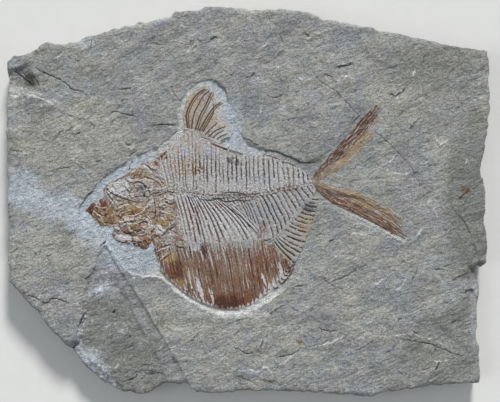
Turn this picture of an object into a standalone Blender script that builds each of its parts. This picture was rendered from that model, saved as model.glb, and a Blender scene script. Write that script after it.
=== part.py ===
"""Fossil fish slab: a broken plate of limestone with the flattened skeleton of a deep-bodied fish in a worked hollow.

The slab lies on its flat back with the fish face up: +X runs from the fish's snout to its tail, +Y from its belly to
its back, and +Z out of the stone. The origin is the middle of the slab's underside.

Outlines are laid out on a tracing grid of half-millimetre squares. Its columns run along +X and its rows down the
face, towards -Y. Every bone is a low relief on the hollow's floor, and each is a solid of its own.
"""

import math
import random

import bmesh
import bpy
from mathutils import Vector
from mathutils.geometry import delaunay_2d_cdt

# Driving dimensions, in metres.
GRID = 0.0005  # one square of the tracing grid
GRID_MIDDLE = (248.5, 201.0)  # the column and row over the origin
SLAB_THICKNESS = 0.014
HOLLOW_DEPTH = 0.0015  # the worked floor that the fish lies on, below the face
HOLLOW_WALL = 0.0012  # how wide the hollow's sloped wall is
GAP = 0.0003  # clearance between two pieces of stone or bone
EDGE_CHIP = 0.0009  # how far the face's worn edge is drawn in from the slab's outline
UNDERCUT = 0.0022  # how far the underside is drawn in from the slab's outline
FACE_SWELL = 0.00035  # height of the face's slow undulation
FACE_POINT_SPACING = 0.0075
SEED = 23

# The slab's outline, clockwise from its top left corner.
OUTLINE = (
    (6, 61), (12, 54), (30, 50), (42, 43), (47, 41), (55, 43), (66, 42), (78, 40), (85, 36), (97, 34),
    (114, 27), (128, 24), (135, 23.5), (138, 20.5), (147, 22), (168, 15), (175, 9.5), (182, 8), (199, 8),
    (204, 4.5), (222, 6), (240, 6.5), (252, 8.5), (278, 7.5), (300, 10), (312, 12), (322, 17), (342, 21),
    (364, 26), (371, 25.5), (384, 29), (408, 35), (432, 40), (450, 44.5), (470, 47), (489, 50),
    (490.5, 64), (491, 76), (490, 86), (492, 95), (491.5, 112), (490, 124), (488, 140), (485.5, 150), (483, 160),
    (481.5, 170), (484, 179), (487, 195), (487, 208), (485, 217), (487.5, 234), (488.5, 248), (487.5, 265),
    (481.5, 269.5), (479.5, 265.5), (479, 278), (481, 291), (478.5, 309), (479.5, 328), (478, 338), (482, 350),
    (480.5, 366), (482, 377), (480.5, 383.5),
    (460, 384.5), (440, 386.5), (420, 389), (400, 392), (379, 394), (373, 397.5), (364, 397.5), (340, 395.5),
    (318, 394), (296, 393), (270, 391.5), (246, 392.5), (222, 394), (196, 394.5), (189, 387), (184, 384),
    (179, 386.5), (173, 384), (163, 385.5), (154, 391), (145, 396), (129, 394), (118, 392), (100, 381.5),
    (81, 364.5), (75, 356), (72, 350), (65, 346.5), (55, 336), (40, 318), (21, 296), (13, 288.5), (7, 282),
    (6.5, 262), (7.5, 240), (7.5, 216), (6, 190), (6, 170), (6, 150), (5, 130), (5, 104), (7, 90), (6, 76),
)

# The rim of the hollow that was worked down to the fish, clockwise from the snout.
HOLLOW_RIM = (
    (79, 209), (84, 199), (90, 190), (98, 180), (108, 172), (119, 165), (129, 158.5), (140, 153), (152, 148),
    (163, 141), (173, 133), (178, 124), (178.5, 111), (182, 100), (188, 89), (196, 82.5), (205, 79), (214, 79),
    (221, 83.5), (227, 93), (232, 106), (237, 121), (243, 135), (252, 143), (262, 147.5), (272, 150),
    (284, 153.5), (295, 158.5), (304, 161), (312, 160), (319, 155.5), (330, 143), (342, 129.5), (354, 116.5),
    (365, 105), (376, 98), (386, 103), (387, 118), (376, 137), (365, 152), (354, 163), (343, 171), (334, 177),
    (331, 181), (340, 184), (351, 186), (363, 188.5), (374, 193), (385, 200), (399, 210), (410, 220), (416, 233),
    (411, 243), (400, 242.5), (387, 236), (372, 228.5), (356, 221), (341, 213.5), (330, 207), (323, 207), (319, 221),
    (314, 236), (310, 248), (306, 259), (301, 270), (294, 281), (285, 290), (274, 298), (264, 305.5), (254, 310),
    (244, 313), (232, 314.5), (218, 313.5), (203, 308.5), (190, 301.5), (178, 293), (166, 282), (156, 277),
    (142, 276), (130, 273), (121, 264), (113, 252), (105, 243), (96, 233), (87, 226), (80, 219),
)

# Places where layers have flaked off: each is a rim, how deep it lies and how wide its wall is.
WEDGE_RIM = (
    (103, 246), (110, 248), (119, 261), (128, 275), (138, 291), (148, 309), (158, 328), (167, 340), (174, 355),
    (182, 371), (192, 388), (198, 402), (120, 408), (50, 360), (71, 347), (76, 329), (84, 312), (80, 303),
    (86, 285), (92, 268), (98, 252),
)
WEDGE_LIP_RIM = ((52, 352), (77, 338), (86, 345), (94, 359), (108, 372), (124, 383), (132, 410), (60, 400))
CORNER_PIT_RIM = ((-6, 74), (14, 66), (28, 60), (34, 76), (39, 88), (31, 93), (16, 93), (-6, 90))
LEFT_FLAKE_RIM = ((-8, 93), (16, 93), (30, 95), (24, 101), (17, 112), (5, 118), (-8, 118))
RIGHT_SLOPE_RIM = (
    (466, 264), (479, 262), (502, 266), (502, 395), (476, 398), (477, 372), (472, 352), (470, 330), (467, 300),
)
FLAKES = (
    (WEDGE_RIM, 0.0013, 0.0022),
    (WEDGE_LIP_RIM, 0.0022, 0.0042),
    (CORNER_PIT_RIM, 0.0022, 0.0035),
    (LEFT_FLAKE_RIM, 0.0007, 0.0012),
    (RIGHT_SLOPE_RIM, 0.0032, 0.0050),
)

# The fish's bones, on the same grid. Curves run from the head to the tail.
BACKBONE_LINE = (
    (166, 189.5), (176, 191.5), (186, 193.5), (198, 195.5), (212, 196.5), (230, 196.5), (250, 196), (262, 194.5),
    (276, 191.5), (290, 188.5), (302, 186), (311, 184.2),
)
BACKBONE_HALF_HEIGHT = 2.6
VERTEBRAE = 22
BACK_LINE = (
    (157.5, 161.5), (166, 153), (173, 147), (179, 140.5), (185, 133.5), (193, 135.5), (202, 142), (211, 144.5),
    (221, 149.5), (229, 154), (242, 158), (253, 157.5), (263, 156), (272, 159), (280, 163), (287, 165),
    (296, 169), (304, 173), (308, 178),
)
BACK_SPINES = 30
RIBS_FOOT = (
    (188, 240), (200, 247), (225, 244.5), (245, 240.5), (262, 238.5), (273, 232), (285, 219), (296, 208),
    (305, 199), (309, 193),
)
RIBS = 25
BELLY_TOP = (
    (156, 245), (170, 245.5), (186, 244.5), (200, 251), (225, 248.5), (245, 244.5), (260, 242.5), (270, 245),
    (280, 254), (290, 264),
)
BELLY_LINE = (
    (154.5, 251), (158, 261), (163, 269.5), (174, 281.5), (189.5, 294.5), (205.5, 302.5), (215, 306.5), (225, 308),
    (234, 308.3), (244, 306.5), (253.5, 303.5), (262, 298), (270, 291), (278, 287), (285, 281), (289, 276.5),
    (293, 268),
)
BELLY_RAYS = 29
ANAL_FIN_BASE = (
    (268, 240.5), (276, 234), (287, 222), (298, 211), (307, 202), (313.5, 194.5),
)
ANAL_FIN_TIPS = (
    (295, 263), (299, 257), (303, 246), (306, 237), (309, 229.5), (312.5, 221), (315, 212), (317, 204),
)
ANAL_FIN_RAYS = 14
DORSAL_FIN_BASE = ((185.5, 129.5), (192, 130.5), (198, 134), (204, 137.5), (211, 140), (218, 143))
# Each ray of the dorsal fin: a point halfway along it, then its tip.
DORSAL_RAYS = (
    ((187.5, 108), (204, 87.5)),
    ((192.5, 104), (207.5, 86.5)),
    ((197, 109), (203.5, 95)),
    ((202, 109), (210, 92)),
    ((207, 113), (214, 103.5)),
    ((211.5, 116), (221, 101.5)),
    ((212.5, 125), (219.5, 121)),
    ((216.5, 129), (226, 125.5)),
    ((220, 133), (229, 129.5)),
    ((224, 138), (232, 133.5)),
)
TAIL_UPPER_FRONT = ((317, 173), (323, 163), (332, 153.5), (344, 139.5), (356, 125.5), (368, 111), (377, 106.5))
TAIL_UPPER_REAR = ((320, 177), (331, 172.5), (341, 165), (351, 157), (361, 147), (371, 133.5), (381.5, 113))
TAIL_LOWER_FRONT = ((318, 189), (326, 197.5), (340, 207.5), (356, 215), (372, 222.5), (388, 230.5), (402, 238))
TAIL_LOWER_REAR = ((322, 185), (336, 189), (348, 191.5), (361, 194.5), (376, 202.5), (394, 214), (408, 229))
TAIL_RAYS = 4
SKULL = (
    (106, 187), (113, 181), (123.5, 177), (129, 173.5), (135, 168.5), (143.5, 165), (149, 168.5), (155, 175.5),
    (160, 183), (161.5, 190), (158, 194.5), (146, 200.5), (133, 201), (120, 200), (108, 198.5), (105, 192.5),
)
EYE_MIDDLE = (139, 190)
EYE_RADIUS = 6.0
JAWS = (
    (87, 210.5), (93.5, 204), (101, 202), (107, 203), (112.5, 208), (113.5, 216), (112, 223.5), (106, 225.5),
    (99, 222.5), (94.5, 217), (90, 213),
)
GILL_COVER = (
    (109.5, 201), (121, 202.5), (133, 203.5), (146, 203), (153, 200), (154.5, 210), (155, 221), (152, 230.5),
    (140, 234.5), (128, 235), (117, 232), (114.5, 224), (116, 215), (114.5, 206.5),
)
THROAT_BONE = (
    (117, 235), (128, 237.5), (141, 237), (153, 233.5), (151.5, 241), (146, 248), (139, 248.5), (127, 244),
    (119.5, 243),
)
SHOULDER = (
    (164, 196), (175, 197.5), (179.5, 207), (182.5, 222), (185, 239), (176, 242), (166, 242), (156, 240.5),
    (157, 231), (158.5, 218), (158, 205), (160, 198),
)

STONE_COLOUR = (0.29, 0.29, 0.26, 1.0)
PALE_BONE_COLOUR = (0.30, 0.27, 0.25, 1.0)
BROWN_BONE_COLOUR = (0.17, 0.085, 0.045, 1.0)
FIN_COLOUR = (0.22, 0.12, 0.06, 1.0)

FACE = SLAB_THICKNESS
FLOOR = FACE - HOLLOW_DEPTH
BONE_BED = FLOOR + GAP


def place(point):
    """The x and y in metres of a point on the tracing grid."""
    column, row = point
    return Vector(((column - GRID_MIDDLE[0]) * GRID, (GRID_MIDDLE[1] - row) * GRID))


def traced(points):
    return [place(p) for p in points]


def smooth_curve(points, count):
    """count points at even spacing on a Catmull-Rom curve through points."""
    ends = [2 * points[0] - points[1], *points, 2 * points[-1] - points[-2]]
    fine = []
    for a, b, c, d in zip(ends, ends[1:], ends[2:], ends[3:]):
        for k in range(12):
            t = k / 12
            fine.append(
                0.5 * (2 * b + (c - a) * t + (2 * a - 5 * b + 4 * c - d) * t**2 + (3 * b - a - 3 * c + d) * t**3)
            )
    fine.append(points[-1])
    lengths = [0.0]
    for a, b in zip(fine, fine[1:]):
        lengths.append(lengths[-1] + (b - a).length)
    sampled = []
    k = 0
    for i in range(count):
        wanted = lengths[-1] * i / (count - 1)
        while k < len(fine) - 2 and lengths[k + 1] < wanted:
            k += 1
        span = lengths[k + 1] - lengths[k]
        sampled.append(fine[k].lerp(fine[k + 1], (wanted - lengths[k]) / span))
    return sampled


def depth_inside(point, polygon):
    """Distance from the polygon's edge: above 0 inside it and below 0 outside."""
    inside = False
    nearest = math.inf
    for a, b in zip(polygon, polygon[1:] + polygon[:1]):
        side = b - a
        along = max(0.0, min(1.0, (point - a).dot(side) / side.length_squared))
        nearest = min(nearest, (point - a - side * along).length)
        if (a.y > point.y) != (b.y > point.y) and point.x < a.x + side.x * (point.y - a.y) / side.y:
            inside = not inside
    return nearest if inside else -nearest


def drawn_in(polygon, distance):
    """The clockwise polygon with each corner moved inwards; distance is one value or one for each corner."""
    moved = []
    count = len(polygon)
    for i, corner in enumerate(polygon):
        tangent = (polygon[(i + 1) % count] - polygon[i - 1]).normalized()
        inwards = Vector((tangent.y, -tangent.x))
        moved.append(corner + inwards * (distance[i] if isinstance(distance, list) else distance))
    return moved


def face_height(point, hollow, flakes):
    """Height of the slab's face at a point: a slow swell, less the worked hollow and the flaked places."""
    swell = math.sin(point.x * 41 + 1.0) * math.cos(point.y * 53 - 0.6) + 0.5 * math.sin(point.x * 97 - point.y * 71)
    settle = max(0.0, min(1.0, 1 - depth_inside(point, hollow) / HOLLOW_WALL))
    worked = 1 - settle
    height = FACE + FACE_SWELL * (swell - 1.0) * settle * 0.6
    for rim, depth, wall in flakes:
        height -= depth * max(0.0, min(1.0, depth_inside(point, rim) / wall)) * settle
    return height - HOLLOW_DEPTH * worked


def triangulated(loops, loose):
    """Constrained triangulation of closed or open loops of points, with loose points between them."""
    points = []
    edges = []
    for loop, closed in loops:
        first = len(points)
        points.extend(loop)
        edges.extend((first + i, first + i + 1) for i in range(len(loop) - 1))
        if closed:
            edges.append((first + len(loop) - 1, first))
    points.extend(loose)
    millimetres = [p * 1000 for p in points]
    found, _, faces, origins, _, _ = delaunay_2d_cdt(millimetres, edges, [], 0, 1e-4)
    index_of = {source: i for i, sources in enumerate(origins) for source in sources}
    return [Vector(p) / 1000 for p in found], faces, index_of


def scattered(box_low, box_high, spacing, rng):
    """Points about spacing apart, in staggered rows that are shaken a little."""
    rows = int((box_high.y - box_low.y) / spacing) + 1
    columns = int((box_high.x - box_low.x) / spacing) + 1
    for row in range(rows):
        for column in range(columns):
            x = box_low.x + (column + 0.5 * (row % 2)) * spacing + rng.uniform(-0.2, 0.2) * spacing
            y = box_low.y + row * spacing + rng.uniform(-0.2, 0.2) * spacing
            yield Vector((x, y))


def kept_runs(points, keep):
    """The stretches of a closed loop whose points pass keep, each with whether it is the whole loop."""
    flags = [keep(p) for p in points]
    if all(flags):
        return [(points, True)]
    start = flags.index(False)
    runs, run = [], []
    for i in range(len(points)):
        k = (start + i) % len(points)
        if flags[k]:
            run.append(points[k])
        elif run:
            runs.append((run, False))
            run = []
    if run:
        runs.append((run, False))
    return [r for r in runs if len(r[0]) > 1]


def new_object(name, mesh_builder, colour, roughness, smooth=False):
    mesh = bpy.data.meshes.new(name)
    bm = bmesh.new()
    mesh_builder(bm)
    bmesh.ops.recalc_face_normals(bm, faces=bm.faces)
    bm.to_mesh(mesh)
    bm.free()
    if smooth:
        mesh.shade_smooth()
        mesh.set_sharp_from_angle(angle=math.radians(50))
    material = bpy.data.materials.new(name)
    material.use_nodes = True
    shader = material.node_tree.nodes["Principled BSDF"]
    shader.inputs["Base Color"].default_value = colour
    shader.inputs["Roughness"].default_value = roughness
    mesh.materials.append(material)
    made = bpy.data.objects.new(name, mesh)
    bpy.context.scene.collection.objects.link(made)
    return made


def ring_wall(bm, upper, lower):
    """Quads between two rings of vertices."""
    count = len(upper)
    for i in range(count):
        k = (i + 1) % count
        bm.faces.new((upper[i], upper[k], lower[k], lower[i]))


def make_slab():
    rng = random.Random(SEED)
    outline = traced(OUTLINE)
    hollow = traced(HOLLOW_RIM)
    flakes = [(traced(rim), depth, wall) for rim, depth, wall in FLAKES]
    rim = drawn_in(outline, [rng.uniform(0.4, 1.0) * EDGE_CHIP for _ in outline])

    def well_inside(p):
        return depth_inside(p, rim) > 0.0012

    loops = [(rim, True), (hollow, True), (drawn_in(hollow, HOLLOW_WALL * 1.08), True)]
    for flake, _, wall in flakes:
        for loop in (flake, drawn_in(flake, wall)):
            loops.extend(kept_runs(loop, lambda p: well_inside(p) and depth_inside(p, hollow) < -0.0008))
    fixed = [p for loop, _ in loops for p in loop]
    low = Vector((min(p.x for p in rim), min(p.y for p in rim)))
    high = Vector((max(p.x for p in rim), max(p.y for p in rim)))
    loose = [
        p
        for p in scattered(low, high, FACE_POINT_SPACING, rng)
        if well_inside(p)
        and depth_inside(p, hollow) < -0.002
        and min((p - q).length for q in fixed) > 0.45 * FACE_POINT_SPACING
    ]
    points, faces, index_of = triangulated(loops, loose)

    def build(bm):
        vertices = [bm.verts.new((p.x, p.y, face_height(p, hollow, flakes))) for p in points]
        for face in faces:
            middle = sum((points[i] for i in face), Vector((0, 0))) / 3
            if depth_inside(middle, rim) > 0:
                bm.faces.new([vertices[i] for i in face])
        top_ring = [vertices[index_of[i]] for i in range(len(rim))]
        widest = [
            bm.verts.new((p.x, p.y, v.co.z - rng.uniform(0.0014, 0.0034))) for p, v in zip(outline, top_ring)
        ]
        waist_points = drawn_in(outline, [rng.uniform(0.0002, 0.0013) for _ in outline])
        waist = [bm.verts.new((p.x, p.y, FACE * rng.uniform(0.38, 0.55))) for p in waist_points]
        foot_points = drawn_in(outline, [rng.uniform(0.5, 0.8) * UNDERCUT for _ in outline])
        foot = [bm.verts.new((p.x, p.y, FACE * rng.uniform(0.08, 0.16))) for p in foot_points]
        back = [bm.verts.new((p.x, p.y, 0.0)) for p in drawn_in(outline, UNDERCUT)]
        for upper, lower in ((top_ring, widest), (widest, waist), (waist, foot), (foot, back)):
            ring_wall(bm, upper, lower)
        bm.faces.new(back)
        bmesh.ops.delete(bm, geom=[v for v in bm.verts if not v.link_faces], context="VERTS")

    new_object("slab", build, STONE_COLOUR, 0.9)


def close_below(bm, ring):
    """Drops the ring of top vertices straight to the bone bed and closes the underside with one flat face."""
    under = [bm.verts.new((v.co.x, v.co.y, BONE_BED)) for v in ring]
    ring_wall(bm, ring, under)
    bm.faces.new(under)


def make_sheet(name, columns, colour):
    """A thin solid from columns of (point, height over the bone bed), with a flat underside."""

    def build(bm):
        grid = [[bm.verts.new((p.x, p.y, BONE_BED + lift)) for p, lift in column] for column in columns]
        for left, right in zip(grid, grid[1:]):
            for row in range(len(left) - 1):
                bm.faces.new((left[row], right[row], right[row + 1], left[row + 1]))
        ring = [c[0] for c in grid] + grid[-1][1:] + [c[-1] for c in grid[-2::-1]] + grid[0][-2:0:-1]
        close_below(bm, ring)

    new_object(name, build, colour, 0.7)


def make_spine_sheet(name, head, foot, spines, rows, colour, rise=0.0005, ridge=0.0004, bow=0.0):
    """A sheet whose ridges run from the head curve to the foot curve, with a groove between each two.

    bow pushes the middle of each ridge towards the tail, as a share of its length.
    """
    pitch = 12  # samples of the two curves for each spine
    heads = smooth_curve(traced(head), pitch * spines + 1)
    feet = smooth_curve(traced(foot), pitch * spines + 1)
    columns = []
    for station in range(0, pitch * spines + 1, pitch // 2):
        start, end = heads[station], feet[station]
        sideways = Vector((start.y - end.y, end.x - start.x)) * bow
        on_ridge = station % pitch
        column = []
        for row in range(rows + 1):
            t = row / rows
            tapered = 0.6 if row in (0, rows) else 1.0
            lift = rise + (ridge * tapered if on_ridge else 0.0)
            column.append((start.lerp(end, t) + sideways * 4 * t * (1 - t), lift))
        columns.append(column)
    make_sheet(name, columns, colour)


def make_tail_lobe(name, front, rear):
    """One lobe of the tail fin: a sheet whose rays run from the tail's root to the lobe's tip."""
    stations = 7
    fronts = smooth_curve(traced(front), stations)
    rears = smooth_curve(traced(rear), stations)
    columns = []
    for a, b in zip(fronts, rears):
        across = 2 * TAIL_RAYS
        columns.append(
            [(a.lerp(b, k / across), 0.0005 + (0.0003 if k % 2 else 0.0)) for k in range(across + 1)]
        )
    make_sheet(name, columns, FIN_COLOUR)


def make_plate(name, outline, colour, edge=0.0004, crown=0.0006, spacing=0.0032, lump=0.0002, eye=None):
    """A bone plate: a flat-bottomed solid, crowned towards its middle and lumpy, with an eye socket if it has one."""
    rng = random.Random(name)
    polygon = traced(outline)
    low = Vector((min(p.x for p in polygon), min(p.y for p in polygon)))
    high = Vector((max(p.x for p in polygon), max(p.y for p in polygon)))
    loose = [p for p in scattered(low, high, spacing, rng) if depth_inside(p, polygon) > 0.4 * spacing]
    rings = []
    if eye:
        middle, radius = place(eye[0]), eye[1] * GRID
        loose = [p for p in loose if (p - middle).length > 1.5 * radius]
        for share in (0.55, 1.0, 1.35):
            ring = [
                middle + Vector((math.cos(a), math.sin(a))) * radius * share
                for a in (math.tau * k / 12 for k in range(12))
            ]
            rings.append((ring, True))
        loose.append(middle)
    points, faces, index_of = triangulated([(polygon, True), *rings], loose)

    def height(p):
        inwards = max(0.0, depth_inside(p, polygon))
        lift = edge + crown * min(1.0, inwards / (2 * spacing)) + (rng.uniform(-lump, lump) if inwards > 1e-6 else 0.0)
        if eye:
            share = (p - middle).length / radius
            if share < 0.9:
                lift = edge * 0.9
            elif share < 1.1:
                lift = edge + crown + lump
        return BONE_BED + lift

    def build(bm):
        vertices = [bm.verts.new((p.x, p.y, height(p))) for p in points]
        for face in faces:
            middle_of_face = sum((points[i] for i in face), Vector((0, 0))) / 3
            if depth_inside(middle_of_face, polygon) > 0:
                bm.faces.new([vertices[i] for i in face])
        close_below(bm, [vertices[index_of[i]] for i in range(len(polygon))])
        bmesh.ops.delete(bm, geom=[v for v in bm.verts if not v.link_faces], context="VERTS")

    new_object(name, build, colour, 0.6)


def make_backbone():
    """The row of vertebrae: a bar that narrows at each vertebra's waist, thinner towards the tail."""
    line = smooth_curve(traced(BACKBONE_LINE), 2 * VERTEBRAE + 1)
    half = BACKBONE_HALF_HEIGHT * GRID

    def build(bm):
        sections = []
        for i, p in enumerate(line):
            before = line[max(0, i - 1)]
            after = line[min(len(line) - 1, i + 1)]
            along = (after - before).normalized()
            across = Vector((-along.y, along.x))
            taper = 1 - 0.35 * i / (len(line) - 1)
            waist = 1.0 if i % 2 == 0 else 0.62
            wide = half * taper * waist
            tall = 0.0013 * taper * (0.75 + 0.25 * waist)
            section = [
                (p + across * wide, BONE_BED),
                (p + across * wide * 0.9, BONE_BED + 0.6 * tall),
                (p + across * wide * 0.35, BONE_BED + tall),
                (p - across * wide * 0.35, BONE_BED + tall),
                (p - across * wide * 0.9, BONE_BED + 0.6 * tall),
                (p - across * wide, BONE_BED),
            ]
            sections.append([bm.verts.new((q.x, q.y, z)) for q, z in section])
        for a, b in zip(sections, sections[1:]):
            ring_wall(bm, a, b)
        bm.faces.new(sections[0])
        bm.faces.new(list(reversed(sections[-1])))

    new_object("backbone", build, PALE_BONE_COLOUR, 0.7)


def make_dorsal_fin():
    """A comb: the row of basal bones with one long ray growing from every other cell of it."""
    cells = 2 * len(DORSAL_RAYS)
    base = smooth_curve(traced(DORSAL_FIN_BASE), cells + 1)
    half_base = 1.1 * GRID
    steps = 4

    def build(bm):
        def vertex(p, lift):
            return bm.verts.new((p.x, p.y, BONE_BED + lift))

        fin_side, body_side = [], []
        for i, p in enumerate(base):
            along = (base[min(cells, i + 1)] - base[max(0, i - 1)]).normalized()
            outwards = Vector((-along.y, along.x))
            fin_side.append(vertex(p + outwards * half_base, 0.0006))
            body_side.append(vertex(p - outwards * half_base, 0.0004))
        ring = []
        for i in range(cells):
            bm.faces.new((fin_side[i], fin_side[i + 1], body_side[i + 1], body_side[i]))
            ring.append(fin_side[i])
            if i % 2 == 0:
                ring.extend(grow_ray(vertex, bm, fin_side[i], fin_side[i + 1], DORSAL_RAYS[i // 2], steps))
        ring.append(fin_side[cells])
        ring.extend(reversed(body_side))
        close_below(bm, ring)

    new_object("dorsal_fin", build, FIN_COLOUR, 0.6)


def grow_ray(vertex, bm, root_left, root_right, halfway_and_tip, steps):
    """Adds one tapered ray to the comb and returns its outline's vertices, out along one side and back."""
    left, right = root_left.co.xy, root_right.co.xy
    start = (left + right) / 2
    halfway, tip = traced(halfway_and_tip)
    control = 2 * halfway - (start + tip) / 2
    wide = (right - left).length / 2
    lefts, rights = [root_left], [root_right]
    for k in range(1, steps + 1):
        t = k / steps
        p = start * (1 - t) ** 2 + control * 2 * t * (1 - t) + tip * t**2
        along = ((control - start) * (1 - t) + (tip - control) * t).normalized()
        across = Vector((-along.y, along.x)) * wide * (0.85 - 0.45 * t)
        lefts.append(vertex(p + across, 0.0006 - 0.0002 * t))
        rights.append(vertex(p - across, 0.0006 - 0.0002 * t))
    for k in range(steps):
        bm.faces.new((lefts[k], lefts[k + 1], rights[k + 1], rights[k]))
    return [*lefts[1:], *reversed(rights[1:])]


def offset_line(points, rows):
    """A traced line moved by a number of grid rows: down the face when rows is above 0."""
    return [(column, row + rows) for column, row in points]


def main():
    for old in list(bpy.data.objects):
        bpy.data.objects.remove(old)
    make_slab()
    make_backbone()
    above_backbone = offset_line(BACKBONE_LINE, -4.2)
    below_backbone = offset_line(BACKBONE_LINE[2:], 4.2)
    make_spine_sheet("back_spines", BACK_LINE, above_backbone, BACK_SPINES, 3, PALE_BONE_COLOUR)
    make_spine_sheet("ribs", below_backbone, RIBS_FOOT, RIBS, 4, PALE_BONE_COLOUR, bow=-0.03)
    make_spine_sheet("belly_keel", BELLY_TOP, BELLY_LINE, BELLY_RAYS, 3, BROWN_BONE_COLOUR, rise=0.0006)
    make_spine_sheet("anal_fin", ANAL_FIN_BASE, ANAL_FIN_TIPS, ANAL_FIN_RAYS, 3, PALE_BONE_COLOUR, rise=0.0004)
    make_tail_lobe("upper_tail_lobe", TAIL_UPPER_FRONT, TAIL_UPPER_REAR)
    make_tail_lobe("lower_tail_lobe", TAIL_LOWER_FRONT, TAIL_LOWER_REAR)
    make_dorsal_fin()
    make_plate("skull", SKULL, PALE_BONE_COLOUR, crown=0.0010, eye=(EYE_MIDDLE, EYE_RADIUS))
    make_plate("jaws", JAWS, BROWN_BONE_COLOUR, crown=0.0008)
    make_plate("gill_cover", GILL_COVER, PALE_BONE_COLOUR, crown=0.0008)
    make_plate("throat_bone", THROAT_BONE, BROWN_BONE_COLOUR)
    make_plate("shoulder_bones", SHOULDER, PALE_BONE_COLOUR, spacing=0.0036)


main()
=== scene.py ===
"""Dresses the fossil fish slab: the broken limestone plate and the bones pressed into its worked hollow.

Outlines lie on a tracing grid that is fitted to the slab's box: columns run along +X, rows down the face.
Every bone is a closed solid that is sunk into the stone, so nothing hangs over a gap.
"""

import math

import bpy
import numpy as np
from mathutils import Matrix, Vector
from mathutils.geometry import delaunay_2d_cdt


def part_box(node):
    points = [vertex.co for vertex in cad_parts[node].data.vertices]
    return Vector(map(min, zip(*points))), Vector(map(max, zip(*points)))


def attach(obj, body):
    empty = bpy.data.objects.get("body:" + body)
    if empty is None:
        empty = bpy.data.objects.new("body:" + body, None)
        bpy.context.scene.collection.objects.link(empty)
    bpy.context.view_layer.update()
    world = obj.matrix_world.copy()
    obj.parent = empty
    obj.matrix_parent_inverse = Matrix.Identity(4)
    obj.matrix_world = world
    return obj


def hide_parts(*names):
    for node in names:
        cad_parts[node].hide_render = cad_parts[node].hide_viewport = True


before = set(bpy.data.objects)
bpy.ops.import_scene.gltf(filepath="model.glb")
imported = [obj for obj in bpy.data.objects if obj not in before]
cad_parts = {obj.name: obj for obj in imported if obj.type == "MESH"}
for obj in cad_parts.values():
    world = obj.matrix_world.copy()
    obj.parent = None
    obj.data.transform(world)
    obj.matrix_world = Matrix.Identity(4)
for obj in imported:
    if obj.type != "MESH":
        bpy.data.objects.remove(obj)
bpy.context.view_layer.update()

MM = 0.001

# The tracing grid: the slab's first and last column and row, over the slab's box.
FIRST_COLUMN, LAST_COLUMN = 5, 492
FIRST_ROW, LAST_ROW = 4.5, 397.5
slab_low, slab_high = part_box("slab")
GRID = (slab_high.x - slab_low.x) / (LAST_COLUMN - FIRST_COLUMN)  # half a millimetre

# Heights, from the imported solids.
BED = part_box("backbone")[0].z  # the plane under the bones
FLOOR = BED - 0.3 * MM  # the hollow's floor
FACE = slab_high.z - 0.1 * MM
SUNK = 1.3 * MM  # how far below its bed a bone's underside lies, inside the stone

# How far apart the points of the meshes are.
STONE_SPACING = 0.80 * MM
HIDDEN_SPACING = 1.8 * MM  # under the bones
UNDER_BONES = 4.5 * MM  # from this far inside the hollow's rim, bone hides the stone
BACK_SPACING = 3.2 * MM
PLATE_SPACING = 0.22 * MM
COLUMN_STEP = 0.17 * MM
ROW_STEP = 0.27 * MM

SIDE_ROWS = 15  # rings of points down the broken side
RIM_INSET = 0.6 * MM  # how far the face's rim is worn back
UNDERCUT = 2.2 * MM  # how far the side draws in towards the back
SEED = 11

# ---------------------------------------------------------------- the stone's lines, on the tracing grid

OUTLINE = (
    (6, 61), (12, 54), (30, 50), (42, 43), (47, 41), (55, 43), (66, 42), (78, 40), (85, 36), (97, 34),
    (114, 27), (128, 24), (135, 23.5), (138, 20.5), (147, 22), (168, 15), (175, 9.5), (182, 8), (199, 8),
    (204, 4.5), (222, 6), (240, 6.5), (252, 8.5), (278, 7.5), (300, 10), (312, 12), (322, 17), (342, 21),
    (364, 26), (371, 25.5), (384, 29), (408, 35), (432, 40), (450, 44.5), (470, 47), (489, 50),
    (490.5, 64), (491, 76), (490, 86), (492, 95), (491.5, 112), (490, 124), (488, 140), (485.5, 150),
    (483, 160), (481.5, 170), (484, 179), (487, 195), (487, 208), (485, 217), (487.5, 234), (488.5, 248),
    (487.5, 265), (481.5, 269.5), (479.5, 265.5), (479, 278), (481, 291), (478.5, 309), (479.5, 328),
    (478, 338), (482, 350), (480.5, 366), (482, 377), (480.5, 383.5), (460, 384.5), (440, 386.5),
    (420, 389), (400, 392), (379, 394), (373, 397.5), (364, 397.5), (340, 395.5), (318, 394), (296, 393),
    (270, 391.5), (246, 392.5), (222, 394), (196, 394.5), (189, 387), (184, 384), (179, 386.5),
    (173, 384), (163, 385.5), (154, 391), (145, 396), (129, 394), (118, 392), (100, 381.5), (81, 364.5),
    (75, 356), (72, 350), (65, 346.5), (55, 336), (40, 318), (21, 296), (13, 288.5), (7, 282), (6.5, 262),
    (7.5, 240), (7.5, 216), (6, 190), (6, 170), (6, 150), (5, 130), (5, 104), (7, 90), (6, 76),
)
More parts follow.
